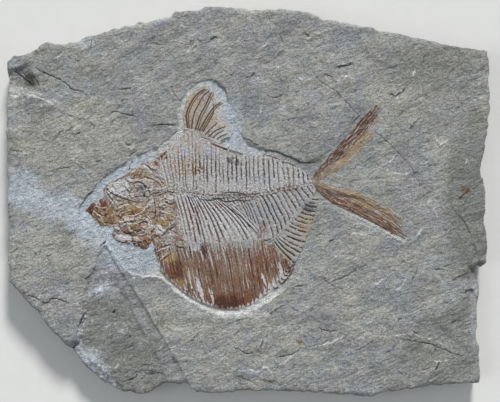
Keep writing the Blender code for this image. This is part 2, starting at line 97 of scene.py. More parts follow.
HOLLOW_RIM = (
    (79, 209), (84, 199), (90, 190), (98, 180), (108, 172), (119, 165), (129, 158.5), (140, 153),
    (152, 148), (163, 141), (173, 133), (178, 124), (178.5, 111), (182, 100), (188, 89), (196, 82.5),
    (205, 79), (214, 79), (221, 83.5), (227, 93), (232, 106), (237, 121), (243, 135), (252, 143),
    (262, 147.5), (272, 150), (284, 153.5), (295, 158.5), (304, 161), (312, 161), (320, 157),
    (331, 145.5), (343, 132), (355, 119), (366, 107.5), (376, 99.5), (386, 103), (387, 118), (376, 137),
    (365, 152), (354, 163), (343, 171), (334, 177), (331, 181), (340, 184), (351, 186), (363, 188.5),
    (374, 193), (385, 200), (399, 210), (410, 220), (416, 233), (411, 243), (400, 242.5), (387, 236),
    (372, 228.5), (356, 221), (341, 213.5), (330, 207), (323, 207), (319, 221), (314, 236), (310, 248),
    (306, 259), (301, 270), (294, 281), (285, 290), (274, 298), (264, 305.5), (254, 310), (244, 313),
    (232, 314.5), (218, 313.5), (203, 308.5), (190, 301.5), (178, 293), (166, 282), (156, 277),
    (142, 276), (130, 273), (121, 264), (113, 252), (105, 243), (96, 233), (87, 226), (80, 219),
)
WEDGE_RIM = (
    (103, 244), (108, 248), (116, 263), (128, 281), (137, 294), (144.5, 306), (152, 319), (163, 336),
    (173, 355), (182, 370), (195, 395), (198, 402), (120, 408), (50, 360), (72, 348), (76, 330),
    (83, 312), (79, 303), (86, 285), (93, 268), (98, 254),
)
WEDGE_INNER_RIM = (
    (79, 303), (92, 296), (101, 290), (107, 284), (117, 284), (128, 298), (134, 313), (142, 329),
    (150, 343), (157, 356), (167, 380), (190, 404), (120, 408), (112, 380), (96, 362), (88, 350),
    (80, 344), (78, 330), (84, 313),
)
WEDGE_FRINGE = (
    (108, 284), (101, 289), (92, 296), (80, 304), (83, 313), (79, 330), (77, 344), (90, 360), (114, 384),
)
# The wedge's low lip at the slab's edge.
WEDGE_LIP_RIM = (
    (52, 352), (77, 338), (86, 345), (94, 359), (108, 372), (124, 383), (132, 410), (60, 400),
)
# The lowered strip along the right edge.
RIGHT_SLOPE_RIM = (
    (466, 264), (479, 262), (502, 266), (502, 395), (476, 398), (477, 372), (472, 352), (470, 330),
    (467, 300),
)
# A thin layer that is gone at the upper left.
UPPER_LEFT_STEP_RIM = (
    (-8, 100), (15, 105), (21, 99), (31, 97), (40, 99), (50, 104), (61, 109), (74, 117), (88, 122),
    (99, 131), (96, 150), (70, 172), (40, 196), (-8, 210),
)
# Places where layers have come away: the rim, how deep it lies in mm and how wide its wall is in mm.
FLAKED = (
    (WEDGE_RIM, 0.85, 0.9),
    (WEDGE_INNER_RIM, 0.5, 0.7),
    (WEDGE_LIP_RIM, 1.3, 3.6),
    (((-6, 74), (14, 66), (28, 60), (34, 76), (39, 88), (31, 93), (16, 93), (-6, 90)), 1.9, 3.2),
    (((-8, 93), (16, 93), (30, 95), (24, 101), (17, 112), (5, 118), (-8, 118)), 0.6, 1.2),
    (RIGHT_SLOPE_RIM, 3.0, 5.0),
    (((107, 302), (119, 305), (131, 312), (126, 317), (113, 313), (104, 310)), -0.25, 0.8),
    (((449, 205), (462, 218), (470, 232), (480, 262), (500, 262), (500, 195), (482, 175)), -0.25, 0.5),
    (((75, 40), (86, 34), (100, 32), (96, 41), (84, 46)), 0.8, 1.5),
    (((148, 20), (168, 12), (176, 6), (181, 10), (166, 20), (152, 24)), 0.9, 1.5),
    (UPPER_LEFT_STEP_RIM, 0.22, 2.0),
)
# Where the hollow's wall is a slope: the middle and half size on the grid, the extra width in mm.
WALL_SLOPES = (
    ((112, 172), (34, 24), 1.5), ((237, 112), (9, 28), 1.8), ((150, 146), (16, 10), 0.5),
    ((334, 142), (28, 26), 1.5), ((205, 84), (22, 10), 0.4),
)
# Painted shadow on the hollow's wall, where it faces away from the light: the middle and half size on the
# grid, the strength.
PAINTED_WALL_SHADOWS = (((112, 182), (36, 34), 0.6), ((222, 84), (24, 10), 0.45), ((283, 156), (40, 13), 0.55))
# Patches on the hollow's floor, by kind: column, row, half width, half height, strength.
HOLLOW_PATCHES = {
    "dust": (
        (122, 212, 52, 74, 1.5), (226, 112, 34, 38, 1.0), (262, 150, 26, 10, 0.5),
    ),
}
TAIL_TIPS = (((382, 104), 27), ((410, 237), 24))  # each tip, and how far the stone rises towards it
SMALL_EDGES = 200
# Cracks: the points, the half width in mm, the depth in mm.
CRACKS = (
    (
        ((34.4, 65), (39, 70), (45, 73), (54, 77), (61, 80), (68, 85), (71, 89), (82, 91.5), (87, 97)),
        0.28, 0.76,
    ),
    (((68, 56), (71, 58.5)), 0.32, 0.66), (((75, 59.5), (79, 61.5)), 0.32, 0.66),
    (((119, 89.5), (125, 89), (131.5, 88)), 0.32, 0.95),
    (((108, 115), (112, 112.5), (117, 111.6), (122, 114), (131, 115), (139, 118)), 0.24, 0.57),
    (((110.5, 122), (114, 119.5)), 0.28, 0.57),
    (((151.5, 127), (157, 125), (164, 124.5), (171, 125), (177, 125.6)), 0.32, 1.14),
    (((128.5, 158), (131, 154), (137, 151)), 0.28, 0.76),
    (((240.5, 136), (245, 138.5), (250, 141), (255, 144), (260, 146)), 0.28, 0.76),
    (((56, 169), (64, 168), (72, 166)), 0.24, 0.47), (((74, 163), (79, 166), (84.5, 170)), 0.2, 0.38),
    (((120, 261), (124, 259.5), (129, 258.7), (133, 256), (136, 256)), 0.24, 0.66),
    (((24, 296), (32, 296.5), (41.5, 300.5)), 0.24, 0.66),
    (((49, 299), (57, 299), (63, 301), (69, 303.6)), 0.28, 0.76),
    (((9.6, 254), (14, 251), (19, 247)), 0.24, 0.57),
    (
        (
            (307, 59), (310, 68), (317, 78), (326, 85), (336, 91), (347, 103), (358, 114.5), (363, 119),
            (377, 133), (392, 146.5), (410, 166), (419, 183), (428, 192),
        ),
        0.18, 0.33,
    ),
    (((304, 33), (308, 35), (312, 38)), 0.24, 0.57),
    (((326.5, 284), (332, 281.5), (339, 280), (350, 274), (358, 268.6)), 0.24, 0.47),
    (((295, 287), (304, 286)), 0.28, 0.66), (((317, 328), (326, 331), (336, 331)), 0.24, 0.57),
    (((275.5, 358), (283, 357), (293, 354), (301, 349)), 0.24, 0.57),
    (((355, 351.5), (363, 348), (370, 343), (376, 340)), 0.2, 0.43),
    (((400, 339), (412, 341), (425, 343), (440, 348), (452, 353), (462, 355)), 0.24, 0.57),
    (((433, 270), (439, 269.5), (445, 270)), 0.24, 0.57),
    (((460, 276), (465, 274), (470, 273)), 0.24, 0.57),
    (((129, 380), (133, 374), (141, 371.5), (150, 371.5), (158, 373), (164, 377)), 0.2, 0.38),
    (((118, 380.5), (125, 381.5), (133, 380)), 0.2, 0.38), (((111, 353), (115, 351.5)), 0.32, 0.57),
    (((100, 247), (103, 243.5), (106, 240)), 0.64, 1.33),
    (((79, 326), (82, 319), (85.5, 313)), 0.32, 0.95), (((72, 350), (75, 346.5), (79, 342)), 0.32, 0.76),
    (((427, 167), (433, 165), (437, 166)), 0.24, 0.47), (((388, 67), (393, 68), (399, 66.5)), 0.24, 0.47),
    (((323, 74), (330, 76), (334, 77)), 0.28, 0.47), (((270, 97), (276, 97), (283, 95)), 0.24, 0.47),
    (((130, 37), (133, 34)), 0.32, 0.47), (((152, 42), (157, 44), (163, 45)), 0.24, 0.38),
    (((280, 35), (283, 42)), 0.24, 0.47), (((181, 103), (177, 97), (170, 88)), 0.2, 0.33),
    (((470, 190), (462, 196)), 0.24, 0.47), (((6, 147), (10, 150), (24, 152)), 0.24, 0.38),
    (((222, 69), (228, 73), (236, 78)), 0.18, 0.28), (((346, 128), (352, 120), (356, 115)), 0.18, 0.28),
    (((309, 312), (315, 309)), 0.24, 0.38),
    (((11, 69), (16, 72), (21, 76), (27, 81), (33, 87)), 0.35, 0.8),
    (((22, 72), (26, 77), (31, 85)), 0.3, 0.6), (((31, 73), (35, 79), (39, 86)), 0.3, 0.6),
    (((231, 347), (240, 350), (246, 354), (255, 352.5)), 0.22, 0.45),
    (((234, 375), (244, 379), (250, 381), (259, 387)), 0.22, 0.45),
    (((425, 385), (432, 378), (438, 374), (444, 371)), 0.22, 0.45), (((342, 365), (350, 362)), 0.22, 0.4),
    (((343, 254), (349, 249)), 0.24, 0.38), (((455, 354.5), (465, 356)), 0.24, 0.47),
    (((181, 392), (184, 387.5), (188, 389)), 0.28, 0.76), (((412, 331), (420, 335)), 0.24, 0.38),
    (((420, 372), (432, 367)), 0.18, 0.28),
)
# Broken edges of thin layers: the points, the rise in mm. Above 0, the left of the line is raised.
LAYER_EDGES = (
    (((175, 57), (181, 54.5), (186.5, 52.6), (192, 47), (201, 38), (208, 38.5), (215, 37.5)), -0.3),
    (((218, 47), (224, 44.5), (231, 43), (238, 47)), -0.3),
    (((306, 348), (314, 347), (322, 345), (330, 343), (339, 339), (346, 334), (352, 331)), -0.4),
    (
        (
            (352, 321), (362, 329), (374, 335.5), (392, 336), (409, 334), (425, 338), (441, 343.5),
            (457, 353),
        ),
        -0.3,
    ),
    (((233, 370), (240, 371), (250, 370), (258, 372), (266, 367), (272, 374), (274, 381)), -0.35),
    (((273, 331), (277, 333), (282, 338)), -0.25), (((323, 76.5), (329, 80), (334.5, 83)), -0.3),
    (((339, 73), (349, 77), (360, 80)), -0.3), (((406, 57), (414, 50), (422, 41.5)), -0.25),
    (((8, 97), (18, 96), (29, 95), (40, 98), (50, 103), (61, 109)), -0.5),
    (((236, 64), (243, 69), (247, 66), (256, 64)), -0.25),
    (((254, 70), (262, 66), (274, 68), (288, 62), (301, 61)), -0.2),
    (((443, 92), (452, 85), (463, 76), (470, 70)), -0.25),
    (((464, 110), (473, 101), (484, 96), (491, 95)), -0.3), (((434, 137), (441, 144), (447, 138)), -0.3),
    (((330, 262), (338, 256), (347, 258), (353, 262)), -0.3),
    (((323, 257), (316, 262), (308, 272)), -0.2), (((360, 326), (368, 336), (378, 340)), -0.2),
    (((300, 304), (310, 307), (318, 300)), -0.2), (((52, 287), (60, 292), (65, 299)), -0.25),
    (((70, 301), (75, 303.5), (80, 302)), -0.25), (((12, 277), (22, 276), (30, 279)), -0.2),
    (((320, 272), (327, 281), (337, 287), (348, 291)), 0.25), (((395, 270), (402, 262), (413, 256)), 0.2),
    (((448, 282), (461, 276), (473, 272)), 0.25), (((288, 303), (294, 309), (300, 311)), 0.25),
    (((384, 353), (392, 349), (399, 340)), 0.2), (((288, 373), (294, 366), (300, 362)), 0.2),
    (((40, 99), (30, 101), (20, 108)), 0.15), (((146, 105), (142, 121), (140, 139), (135, 156)), 0.12),
    (((433, 155), (450, 147), (466, 141), (480, 134)), 0.15),
    (((449, 205), (462, 218), (470, 232), (480, 262)), 0.2),
    (((62, 110), (74, 117), (88, 120), (99, 131)), 0.2),
)
# Patches on the stone, in the same form.
STONE_PATCHES = {
    "buff": (
        (436, 92, 70, 62, 0.35), (60, 138, 56, 34, 0.6), (50, 250, 40, 24, 0.4), (92, 108, 24, 12, 0.5),
        (190, 318, 36, 22, 0.45), (215, 350, 30, 24, 0.3), (160, 305, 16, 14, 0.35),
        (352, 299, 8, 6, 0.7), (322, 37, 12, 10, 0.4), (374, 89, 14, 12, 0.35), (446, 150, 22, 12, 0.4),
        (444, 171, 14, 10, 0.4), (300, 60, 30, 20, 0.2), (130, 345, 22, 22, 0.4),
        (340, 300, 40, 22, 0.2), (430, 60, 34, 18, 0.2), (395, 108, 30, 18, 0.25),
        (120, 372, 12, 8, 0.5), (170, 110, 14, 24, 0.25),
    ),
    "shade": (
        # The patch at (26, 80) is painted shadow in the corner pit, and the one at (312, 160) is painted
        # shadow on the hollow's wall.
        (430, 350, 80, 60, 0.16), (436, 60, 60, 40, 0.26), (312, 160, 10, 5, 0.5), (26, 80, 12, 9, 0.9),
        (250, 45, 60, 26, 0.15), (472, 205, 28, 96, 0.8), (450, 345, 50, 40, 0.4),
        (440, 70, 50, 30, 0.3), (150, 60, 60, 24, 0.2), (330, 130, 60, 60, 0.15), (40, 62, 24, 14, 0.3),
    ),
    "dust": (
        (458, 286, 26, 15, 0.25), (80, 216, 12, 16, 0.6), (96, 238, 22, 10, 0.5),
        (18, 188, 24, 20, 0.8), (52, 206, 32, 15, 0.7), (88, 222, 22, 14, 0.6),
        (128, 256, 28, 17, 0.75), (98, 262, 14, 20, 0.2), (36, 118, 22, 10, 0.15),
        (282, 107, 6, 4, 0.5), (293, 92, 6, 4, 0.3), (476, 320, 6, 40, 0.4), (236, 116, 8, 28, 0.5),
        (86, 42, 12, 5, 0.6), (163, 17, 14, 5, 0.6), (12, 64, 12, 6, 0.4), (90, 365, 18, 16, 0.4),
        (190, 390, 8, 5, 0.6), (300, 78, 10, 5, 0.25), (140, 100, 7, 50, 0.2), (110, 292, 14, 8, 0.4),
        (190, 305, 26, 8, 0.3), (300, 275, 20, 12, 0.2), (352, 178, 20, 10, 0.15),
    ),
    "halo_and_highlight": (
        # The strips at (232, 315), (28, 94) and (51, 103) are painted highlight on the lit lower wall of the
        # hollow and on the upper-left ledge's edge.
        (232, 315, 50, 4, 0.5), (60, 96, 44, 30, 0.16), (11, 98, 8, 11, 1.0), (28, 94, 18, 3, 0.9),
        (51, 103, 12, 4, 0.6),
    ),
    "lilac": (
        (338, 142, 20, 18, 0.4), (140, 80, 8, 56, 0.25), (143, 125, 7, 20, 0.4),
        (104, 268, 10, 18, 0.3), (92, 368, 22, 20, 0.4), (330, 38, 20, 16, 0.2), (330, 72, 22, 12, 0.2),
    ),
    "dark": (
        # The patches at (29, 80) and (18, 71) are painted shadow on the corner pit's facets, and the one at
        # (484, 268) is painted shadow in the notch.
        (29, 80, 6, 7, 0.5), (18, 71, 7, 3, 0.4), (484, 268, 4, 3, 0.4),
    ),
    "rust": (
        (39, 87, 3, 5, 0.4), (466, 190.5, 5, 4, 0.8), (299.5, 342, 4, 3, 0.8), (352, 299, 6, 5, 0.25),
        (139, 156, 4, 3, 0.4),
    ),
}

# ---------------------------------------------------------------- the bones' lines, on the tracing grid

BACKBONE_LINE = (
    (166, 189.5), (176, 191.5), (186, 193.5), (198, 195.5), (212, 196.5), (230, 196.5), (250, 196),
    (262, 194.5), (276, 191.5), (290, 188.5), (302, 186), (311, 184.2),
)
# Rays in a sheet: the ends of a few of them, head first; the others lie evenly between.
BACK_ENDS = (
    ((156.5, 159.5), (166, 188)), ((163, 153), (170.5, 189)), ((170, 147.5), (175.5, 190)),
    ((178, 139.5), (181.5, 191)), ((186, 130.5), (188.5, 192)), ((194, 132), (195.5, 193)),
    ((203, 139.5), (203.5, 194)), ((211, 142.5), (211.5, 194.5)), ((221, 147.5), (221.5, 194.5)),
    ((231, 152.5), (231.5, 194.5)), ((242, 155.5), (242.5, 194)), ((253, 155), (254.5, 193.5)),
    ((263, 153), (265, 192)), ((272, 155.5), (274.5, 190)), ((281, 159.5), (283.5, 188)),
    ((290, 163), (292, 186)), ((299, 167.5), (300.5, 184.5)), ((306, 173), (307.5, 183)),
    ((311, 177.5), (313, 182)),
)
RIB_ENDS = (
    ((172, 192.5), (185, 248)), ((181, 193.5), (194, 251)), ((189, 195), (206, 251)),
    ((197, 197), (220, 251)), ((205, 198), (236, 250)), ((213, 199), (250, 248)),
    ((220, 199.5), (261, 246)), ((225, 200), (269, 244)),
)
HAEMAL_ENDS = (
    ((216, 198), (221, 203)), ((227, 198), (236, 213)), ((237, 197.5), (250, 225)),
    ((246, 197), (261, 237)), ((255, 196), (271, 241)), ((263, 194.5), (281, 234)),
    ((271, 193), (288, 226)), ((280, 191), (295, 219)), ((289, 189), (302, 211)),
    ((298, 187), (309, 203)), ((306, 185), (314, 195)), ((312, 183.5), (316, 189)),
)
BELLY_ENDS = (
    ((154, 247), (156, 256)), ((160, 244.5), (165.5, 275.5)), ((170, 242.5), (180, 289.5)),
    ((180, 241), (192.5, 298.5)), ((192, 242), (205.5, 304.5)), ((205, 243), (218.5, 308.5)),
    ((218, 242.5), (231, 310)), ((231, 241), (243, 308.5)), ((244, 240), (254, 304)),
    ((256, 239.5), (264, 297)), ((267, 241.5), (274, 289)), ((276, 248), (283, 282)),
    ((284, 256), (290, 276)), ((291.5, 264), (294, 267.5)),
)
ANAL_FIN_ENDS = (
    ((272, 242), (291, 266.5)), ((275, 239), (297, 259.5)), ((277.5, 236), (301.5, 251)),
    ((280.5, 232.5), (305, 243)), ((284, 227.5), (307.5, 236.5)), ((289, 220.5), (311, 228.5)),
    ((294.5, 214), (313.8, 220.5)), ((300.5, 207), (316, 212)), ((306.5, 201), (318, 204)),
    ((311.5, 195), (319, 197.5)),
)
FIN_MEMBRANE_FRONT = ((185, 130), (182, 118), (184, 106), (189, 95), (197, 88), (204, 85.5))
FIN_MEMBRANE_REAR = (
    (219, 143.5), (229, 138), (233, 130), (228, 122), (224, 108), (221, 99), (213, 90), (206, 85.5),
)
# The dorsal fin's rays: the foot, a point halfway along, the tip, the half width in mm.
DORSAL_RAYS = (
    ((187.5, 127.5), (186.3, 114.5), (190, 104), (197, 94), (205, 88.5), 0.52),
    ((191.5, 128), (193.5, 115), (198.5, 104), (203, 96), (209.5, 90.5), 0.42),
    ((195.5, 129), (199.5, 116.5), (206, 104), (211.5, 92), 0.50),
    ((199.5, 130), (205.5, 119), (213, 108), (221, 102), 0.50),
    ((203, 131), (209.5, 120), (213.5, 112), (213, 103), 0.36),
    ((205.5, 134), (211, 128), (217, 123), 0.32), ((209, 136), (216, 130), (226, 126), 0.32),
    ((213, 138), (217, 133.5), (224, 130), 0.28), ((217, 139), (221, 136), (227, 133.5), 0.28),
    ((221, 141), (225, 138.5), (230, 137), 0.24),
)
TAIL_UPPER_FRONT = (
    (307, 180), (314, 174.5), (319, 167), (325, 160), (333, 151), (344.5, 138), (356, 125), (367, 112),
    (377, 104),
)
TAIL_UPPER_REAR = (
    (309, 183.5), (318, 181.5), (328, 176.5), (340, 171), (352, 162.5), (363, 151), (373, 138),
    (381.5, 123.5), (386, 109),
)
TAIL_LOWER_FRONT = (
    (307, 185.5), (313, 187.5), (321, 193.5), (332, 203), (346, 210), (360, 216.5), (376, 224.5),
    (391, 233), (405, 240),
)
TAIL_LOWER_REAR = (
    (309, 181), (319, 180.5), (331, 184.5), (347, 187), (363, 190.5), (378, 198), (393, 207),
    (406, 218.5), (413, 232),
)
SKULL = (
    (106, 187), (109, 183), (113, 180.5), (118, 179.5), (123.5, 176.5), (129, 173), (132, 170),
    (137, 167.5), (143.5, 163.5), (148, 165), (152, 170), (156, 175.5), (161, 181), (166, 186),
    (170, 190), (166, 195), (158, 196.5), (150, 200), (142, 202.5), (133, 202), (120, 201), (108, 199.5),
    (104.5, 192.5),
)
EYE_MIDDLE = (139.5, 190.5)
JAWS = (
    (86.5, 210.5), (90, 206), (94, 203.5), (98, 203), (100, 199.5), (104, 198.5), (109, 202.5),
    (112.5, 208), (114, 216), (112.5, 223.5), (106, 226), (99, 223), (94.5, 218.5), (90, 214.5),
)
GILL_COVER = (
    (107, 200.5), (121, 202), (133, 203), (146, 202), (154, 199), (156, 210), (156.5, 222), (153.5, 232),
    (140, 235.5), (128, 236), (117, 233), (112.5, 225), (115, 215), (112, 206.5),
)
THROAT_BONE = (
    (113, 233), (120, 235), (128, 236.5), (141, 236), (154.5, 233), (151.5, 240), (146.5, 247.5),
    (142, 248.5), (134, 245), (127, 244), (119.5, 242), (116, 239),
)
SHOULDER = (
    (157, 194.5), (166, 193), (174, 194.5), (180, 207), (183, 222), (187, 245), (176, 247), (166, 247.5),
    (154.5, 246), (154, 236), (155.5, 231), (157, 218), (156, 205),
)
NAPE = (
    (146, 162.5), (152, 161), (157.5, 158.5), (162, 166), (166, 177), (169, 187), (166, 191), (157, 178),
    (150, 169),
)

# Lines on the bones: what it is, the points, the half width in mm, the height in mm.
BONE_LINES = (
    ("dark", ((106, 189), (112, 193.5), (120, 197.5), (128, 200), (137, 202)), 0.35, -0.5),
    ("chalk", ((107.5, 187.5), (113, 191), (119, 194.5), (126, 197.5)), 0.35, 0.5),
    ("dark", ((144, 163.5), (148.5, 167), (153, 171.5)), 0.35, -0.7),
    ("chalk", ((143, 165), (147.5, 168.5), (152, 173)), 0.3, 0.3),
    ("dark", ((154.2, 198), (155, 206), (155.4, 214), (156.4, 222)), 0.4, -0.6),
    ("dark", ((160, 236.5), (164, 234.5), (168, 230), (172, 228.5), (176, 224)), 0.38, -0.45),
    ("chalk", ((159, 233), (163, 231), (170, 225.5), (175, 221)), 0.3, 0.2),
    ("dark", ((133, 184.5), (137, 182), (142, 183), (145, 187), (146, 192)), 0.4, -0.35),
    ("dark", ((143.5, 197.5), (144.5, 194.5), (145, 192)), 0.5, -0.4),
    ("slate", ((137, 183.5), (141.5, 185.5), (144, 190), (143, 195)), 0.5, 0.45),
    ("dark", ((125, 179), (130, 182.5), (135, 183)), 0.3, -0.25),
    ("dark", ((105, 195.5), (101.5, 199), (99.5, 203)), 0.3, -0.2),
    ("dark", ((148, 197), (153, 193.5), (160, 192.5)), 0.35, -0.3),
    ("dark", ((158, 196), (168, 192), (176, 193.5)), 0.3, -0.3),
    ("rust", ((108, 184.5), (104, 187), (104.5, 192)), 0.6, 0.2),
    ("dark", ((112, 183), (119, 179), (124, 176.5), (130, 173)), 0.3, 0.2),
    ("chalk", ((115, 210), (119, 208), (124, 205.5), (130, 204)), 0.3, 0.25),
    ("chalk", ((116, 223.5), (124, 221), (133, 219.5), (142, 216)), 0.3, 0.25),
    ("chalk", ((118, 228), (127, 224), (138, 223), (148, 218)), 0.3, 0.25),
    ("dark", ((117, 225.5), (126, 222.5), (135, 221)), 0.25, -0.25),
    ("dark", ((130, 228), (136, 231), (142, 230)), 0.4, -0.2),
    ("chalk", ((124, 213), (131, 216), (140, 213), (147, 207)), 0.25, 0.2),
    ("chalk", ((134, 205), (141, 208), (148, 206), (153, 202)), 0.25, 0.2),
    ("dark", ((139, 224), (145, 219), (150, 213)), 0.25, -0.2),
    ("chalk", ((117, 236), (126, 238.5), (133, 236.5), (145, 234)), 0.3, 0.3),
    ("dark", ((116.5, 240), (121, 242.5), (127, 242.5)), 0.4, -0.2),
    ("dark", ((89, 206.5), (93, 204.5), (92.5, 210)), 0.35, -0.25),
    ("dark", ((97, 212), (103, 215.5), (108, 214)), 0.35, -0.25),
    ("chalk", ((93, 210.5), (97, 214), (103, 218.5)), 0.3, 0.25),
    ("chalk", ((160, 210), (166, 213), (172, 210)), 0.3, 0.25),
    ("chalk", ((158, 206), (164, 203.5), (171, 206.5)), 0.3, 0.25),
    ("chalk", ((156, 252), (163, 249), (170, 246.5)), 0.35, 0.25),
    ("dark", ((160, 248), (166, 245.5), (172, 244.5)), 0.35, -0.3),
    ("dark", ((176, 246), (180, 247.5), (184, 247)), 0.5, -0.3),
    ("dark", ((160.5, 262.5), (165, 258), (170, 254.5)), 0.3, -0.3),
    ("chalk", ((159, 261), (163.5, 256.5), (168, 253)), 0.25, 0.2),
    ("ochre", ((160, 271.5), (165, 272.5), (163, 276)), 0.5, 0.2),
    ("rust", ((157, 158.5), (162, 154.5), (167, 151)), 0.8, 0.4),
    ("rust", ((263, 153.5), (272, 156), (280, 159.5)), 0.55, 0.4),
    ("dark", ((281, 160.5), (290, 163.5), (298, 167.5)), 0.3, 0.3),
    ("rust", ((240, 153.5), (248, 155.5)), 0.55, 0.3),
    ("rust", ((211, 143.5), (218, 146), (227, 150.5)), 0.5, 0.3),
    ("dark", ((222, 203), (232, 210), (243, 219), (253, 229), (263, 241)), 0.32, -0.45),
    ("dark", ((262, 241.5), (268, 240), (273, 239)), 0.3, -0.3),
    (
        "dark", ((198, 199), (210, 200.5), (218, 199), (226, 202), (236, 200.5), (246, 201), (255, 199)),
        0.45, -0.4,
    ),
    ("dark", ((222, 193.5), (232, 192.5), (244, 193.5)), 0.4, -0.35),
    ("dark", ((189, 245.5), (190.5, 252), (191.5, 258)), 0.45, -0.4),
    ("dark", ((202, 246), (204, 252), (206, 260)), 0.5, -0.5),
    ("chalk", ((109, 198), (113, 203), (117, 209)), 0.25, 0.2),
    ("rust", ((106, 192), (111, 198), (115, 205)), 0.35, 0.15),
    ("rust", ((119, 205), (127, 203), (134, 206)), 0.3, 0.15),
    ("chalk", ((121, 217), (128, 219.5), (136, 217)), 0.25, 0.2),
    ("dark", ((114, 222), (121, 228), (130, 232), (139, 234)), 0.25, -0.25),
    ("rust", ((120, 229), (129, 234), (138, 236)), 0.35, 0.2),
    ("chalk", ((119, 232), (127, 235.5), (136, 238)), 0.25, 0.25),
    ("dark", ((126, 243), (134, 246), (142, 248)), 0.3, -0.2),
    ("chalk", ((146, 214), (151, 221), (152, 229)), 0.25, 0.2),
    ("rust", ((157, 203), (160, 210), (159, 218)), 0.35, 0.15),
    ("dark", ((163, 197), (168, 200), (174, 200)), 0.25, -0.2),
    ("chalk", ((150, 186), (157, 189), (165, 189)), 0.3, 0.2),
    ("rust", ((146, 176), (154, 180), (161, 185)), 0.35, 0.15),
    ("dark", ((149, 173), (157, 177), (163, 182)), 0.22, -0.2),
    ("chalk", ((110, 184), (117, 183), (124, 184)), 0.3, 0.2),
    ("dark", ((120, 185), (126, 188), (130, 193)), 0.22, -0.2),
    ("chalk", ((96, 205), (101, 208), (107, 207)), 0.25, 0.2),
    ("dark", ((96, 219), (102, 223), (108, 222)), 0.25, -0.2),
)
# Patches on the bones, in the same form.
BONE_PATCHES = {
    "chalk": (
        (119, 188, 10, 8, 0.6), (122, 243, 9, 8, 0.8), (129, 180, 5, 3, 0.5), (168, 198, 5, 3, 1.0),
        (193, 247, 7, 5, 0.4), (159, 229, 4, 5, 0.8),
    ),
    "dark": (
        (120, 246, 3, 3, 0.5), (90, 209, 4, 4, 0.55), (104, 204, 4, 3, 0.5), (98, 212, 11, 9, 0.15),
        (146, 241, 5, 3, 0.3), (179, 271, 3.5, 10, 0.5), (173, 276, 4, 4, 0.3), (224, 303, 13, 8, 0.75),
        (238, 301, 8, 6, 0.5), (291, 270, 4, 5, 0.6), (204, 249, 4, 9, 0.5), (229, 160, 3, 3, 0.7),
        (237, 163, 2.5, 4, 0.7), (233, 158, 2, 2, 0.5), (236, 196, 26, 3, 0.35), (309, 208, 7, 5, 0.55),
    ),
    "slate": (
        (139.5, 190.5, 6, 7, 0.6), (150, 178, 8, 6, 0.25), (196, 246, 10, 6, 0.5),
        (262, 180, 10, 8, 0.35), (233, 162, 8, 5, 0.4), (205, 153, 10, 8, 0.3),
        (238, 176, 16, 10, 0.25), (309, 207, 9, 7, 0.9), (262, 213, 22, 12, 0.2), (189, 197, 7, 4, 0.4),
    ),
    "ochre": (
        (137, 171, 9, 6, 0.3), (131, 212, 22, 18, 0.2), (162, 212, 12, 22, 0.18),
        (101, 221.5, 7, 4, 1.0), (126, 216, 6, 5, 0.8), (150, 231, 5, 3.5, 0.7), (163, 222, 6, 4, 1.1),
        (171, 215, 3.5, 3, 0.5), (169, 257, 9, 6, 1.1), (187, 271, 4, 14, 0.5), (178, 284, 9, 5, 0.7),
        (236, 271, 6, 12, 0.3), (272, 281, 5, 5, 0.5), (183, 167, 18, 9, 0.5), (198, 150, 5, 12, 0.5),
        (175, 150, 4, 6, 0.6), (187, 138, 5, 9, 0.45), (172, 184, 10, 5, 0.35), (306, 224, 10, 14, 0.6),
        (286, 255, 8, 6, 0.3), (193, 104, 8, 18, 0.8), (210, 118, 8, 12, 0.7), (220, 124, 8, 5, 0.7),
    ),
    "rust": (
        (131, 214, 20, 18, 0.15), (131, 173, 14, 8, 0.25), (94, 209, 8, 6, 1.0), (104, 213, 8, 7, 0.9),
        (135, 212.5, 5, 6, 0.75), (133, 230, 8, 4, 0.55), (142, 242, 12, 6, 1.8), (166, 218, 3, 3, 0.5),
        (168, 203, 5, 2.5, 0.8), (160, 250, 6, 8, 0.3), (174, 270, 8, 13, 1.7), (198, 262, 8, 12, 0.25),
        (234, 303, 26, 10, 1.9), (287, 269, 8, 9, 1.5), (262, 268, 12, 20, 0.35),
        (243, 280, 16, 10, 0.25), (216, 285, 6, 14, 0.3), (270, 250, 8, 10, 0.4),
        (190, 169, 12, 7, 0.25), (199, 169, 8, 4, 0.5), (161, 156, 6, 4, 0.9), (255, 195, 10, 4, 0.2),
        (290, 189, 14, 3.5, 0.35), (218, 206, 7, 5, 0.5), (263, 229, 5, 8, 0.45),
        (194, 212, 6, 8, 0.35), (309, 228, 8, 12, 0.45),
    ),
}
# Slivers of bare white stone that show between the belly's rays: the ends, the half width in mm.
BELLY_GAPS = (
    ((188.5, 268), (192, 289), 0.9), ((196.5, 276), (203, 300), 1.6), ((208, 286), (213.5, 303), 1.5),
    ((279, 262), (283.5, 278), 1.6), ((262, 273), (266.5, 289), 1.3), ((272.5, 280), (276, 288), 1.1),
    ((183.5, 284), (187, 290), 0.7), ((193.5, 290), (197, 298), 0.7), ((200, 248), (203, 262), 0.7),
    ((186, 249), (188, 257), 0.4), ((289, 276), (285, 283), 0.7),
)
# Small hooked ends of the rays along the belly's rear edge: the root, the bend, the tip.
BELLY_HOOKS = (
    ((286, 268), (291, 267), (295.5, 264)), ((285, 271), (290, 271.5), (294.5, 268)),
    ((284, 275), (289, 275.5), (292.5, 272)), ((281, 278), (285, 280), (289, 276.5)),
    ((278, 281), (282, 283.5), (286, 280.5)), ((272, 285), (275, 288.5), (278.5, 287)),
    ((264, 284), (266.5, 288.5), (270, 289.5)), ((261, 291), (263.5, 295), (267, 294)),
)
# The rim of the keel that shows below its rays.
BELLY_EDGE = (
    (160, 270), (167, 278), (175, 285), (184, 292.5), (192, 298), (205, 304.5), (215, 307.5),
    (225, 309.5), (240, 309.5),
)
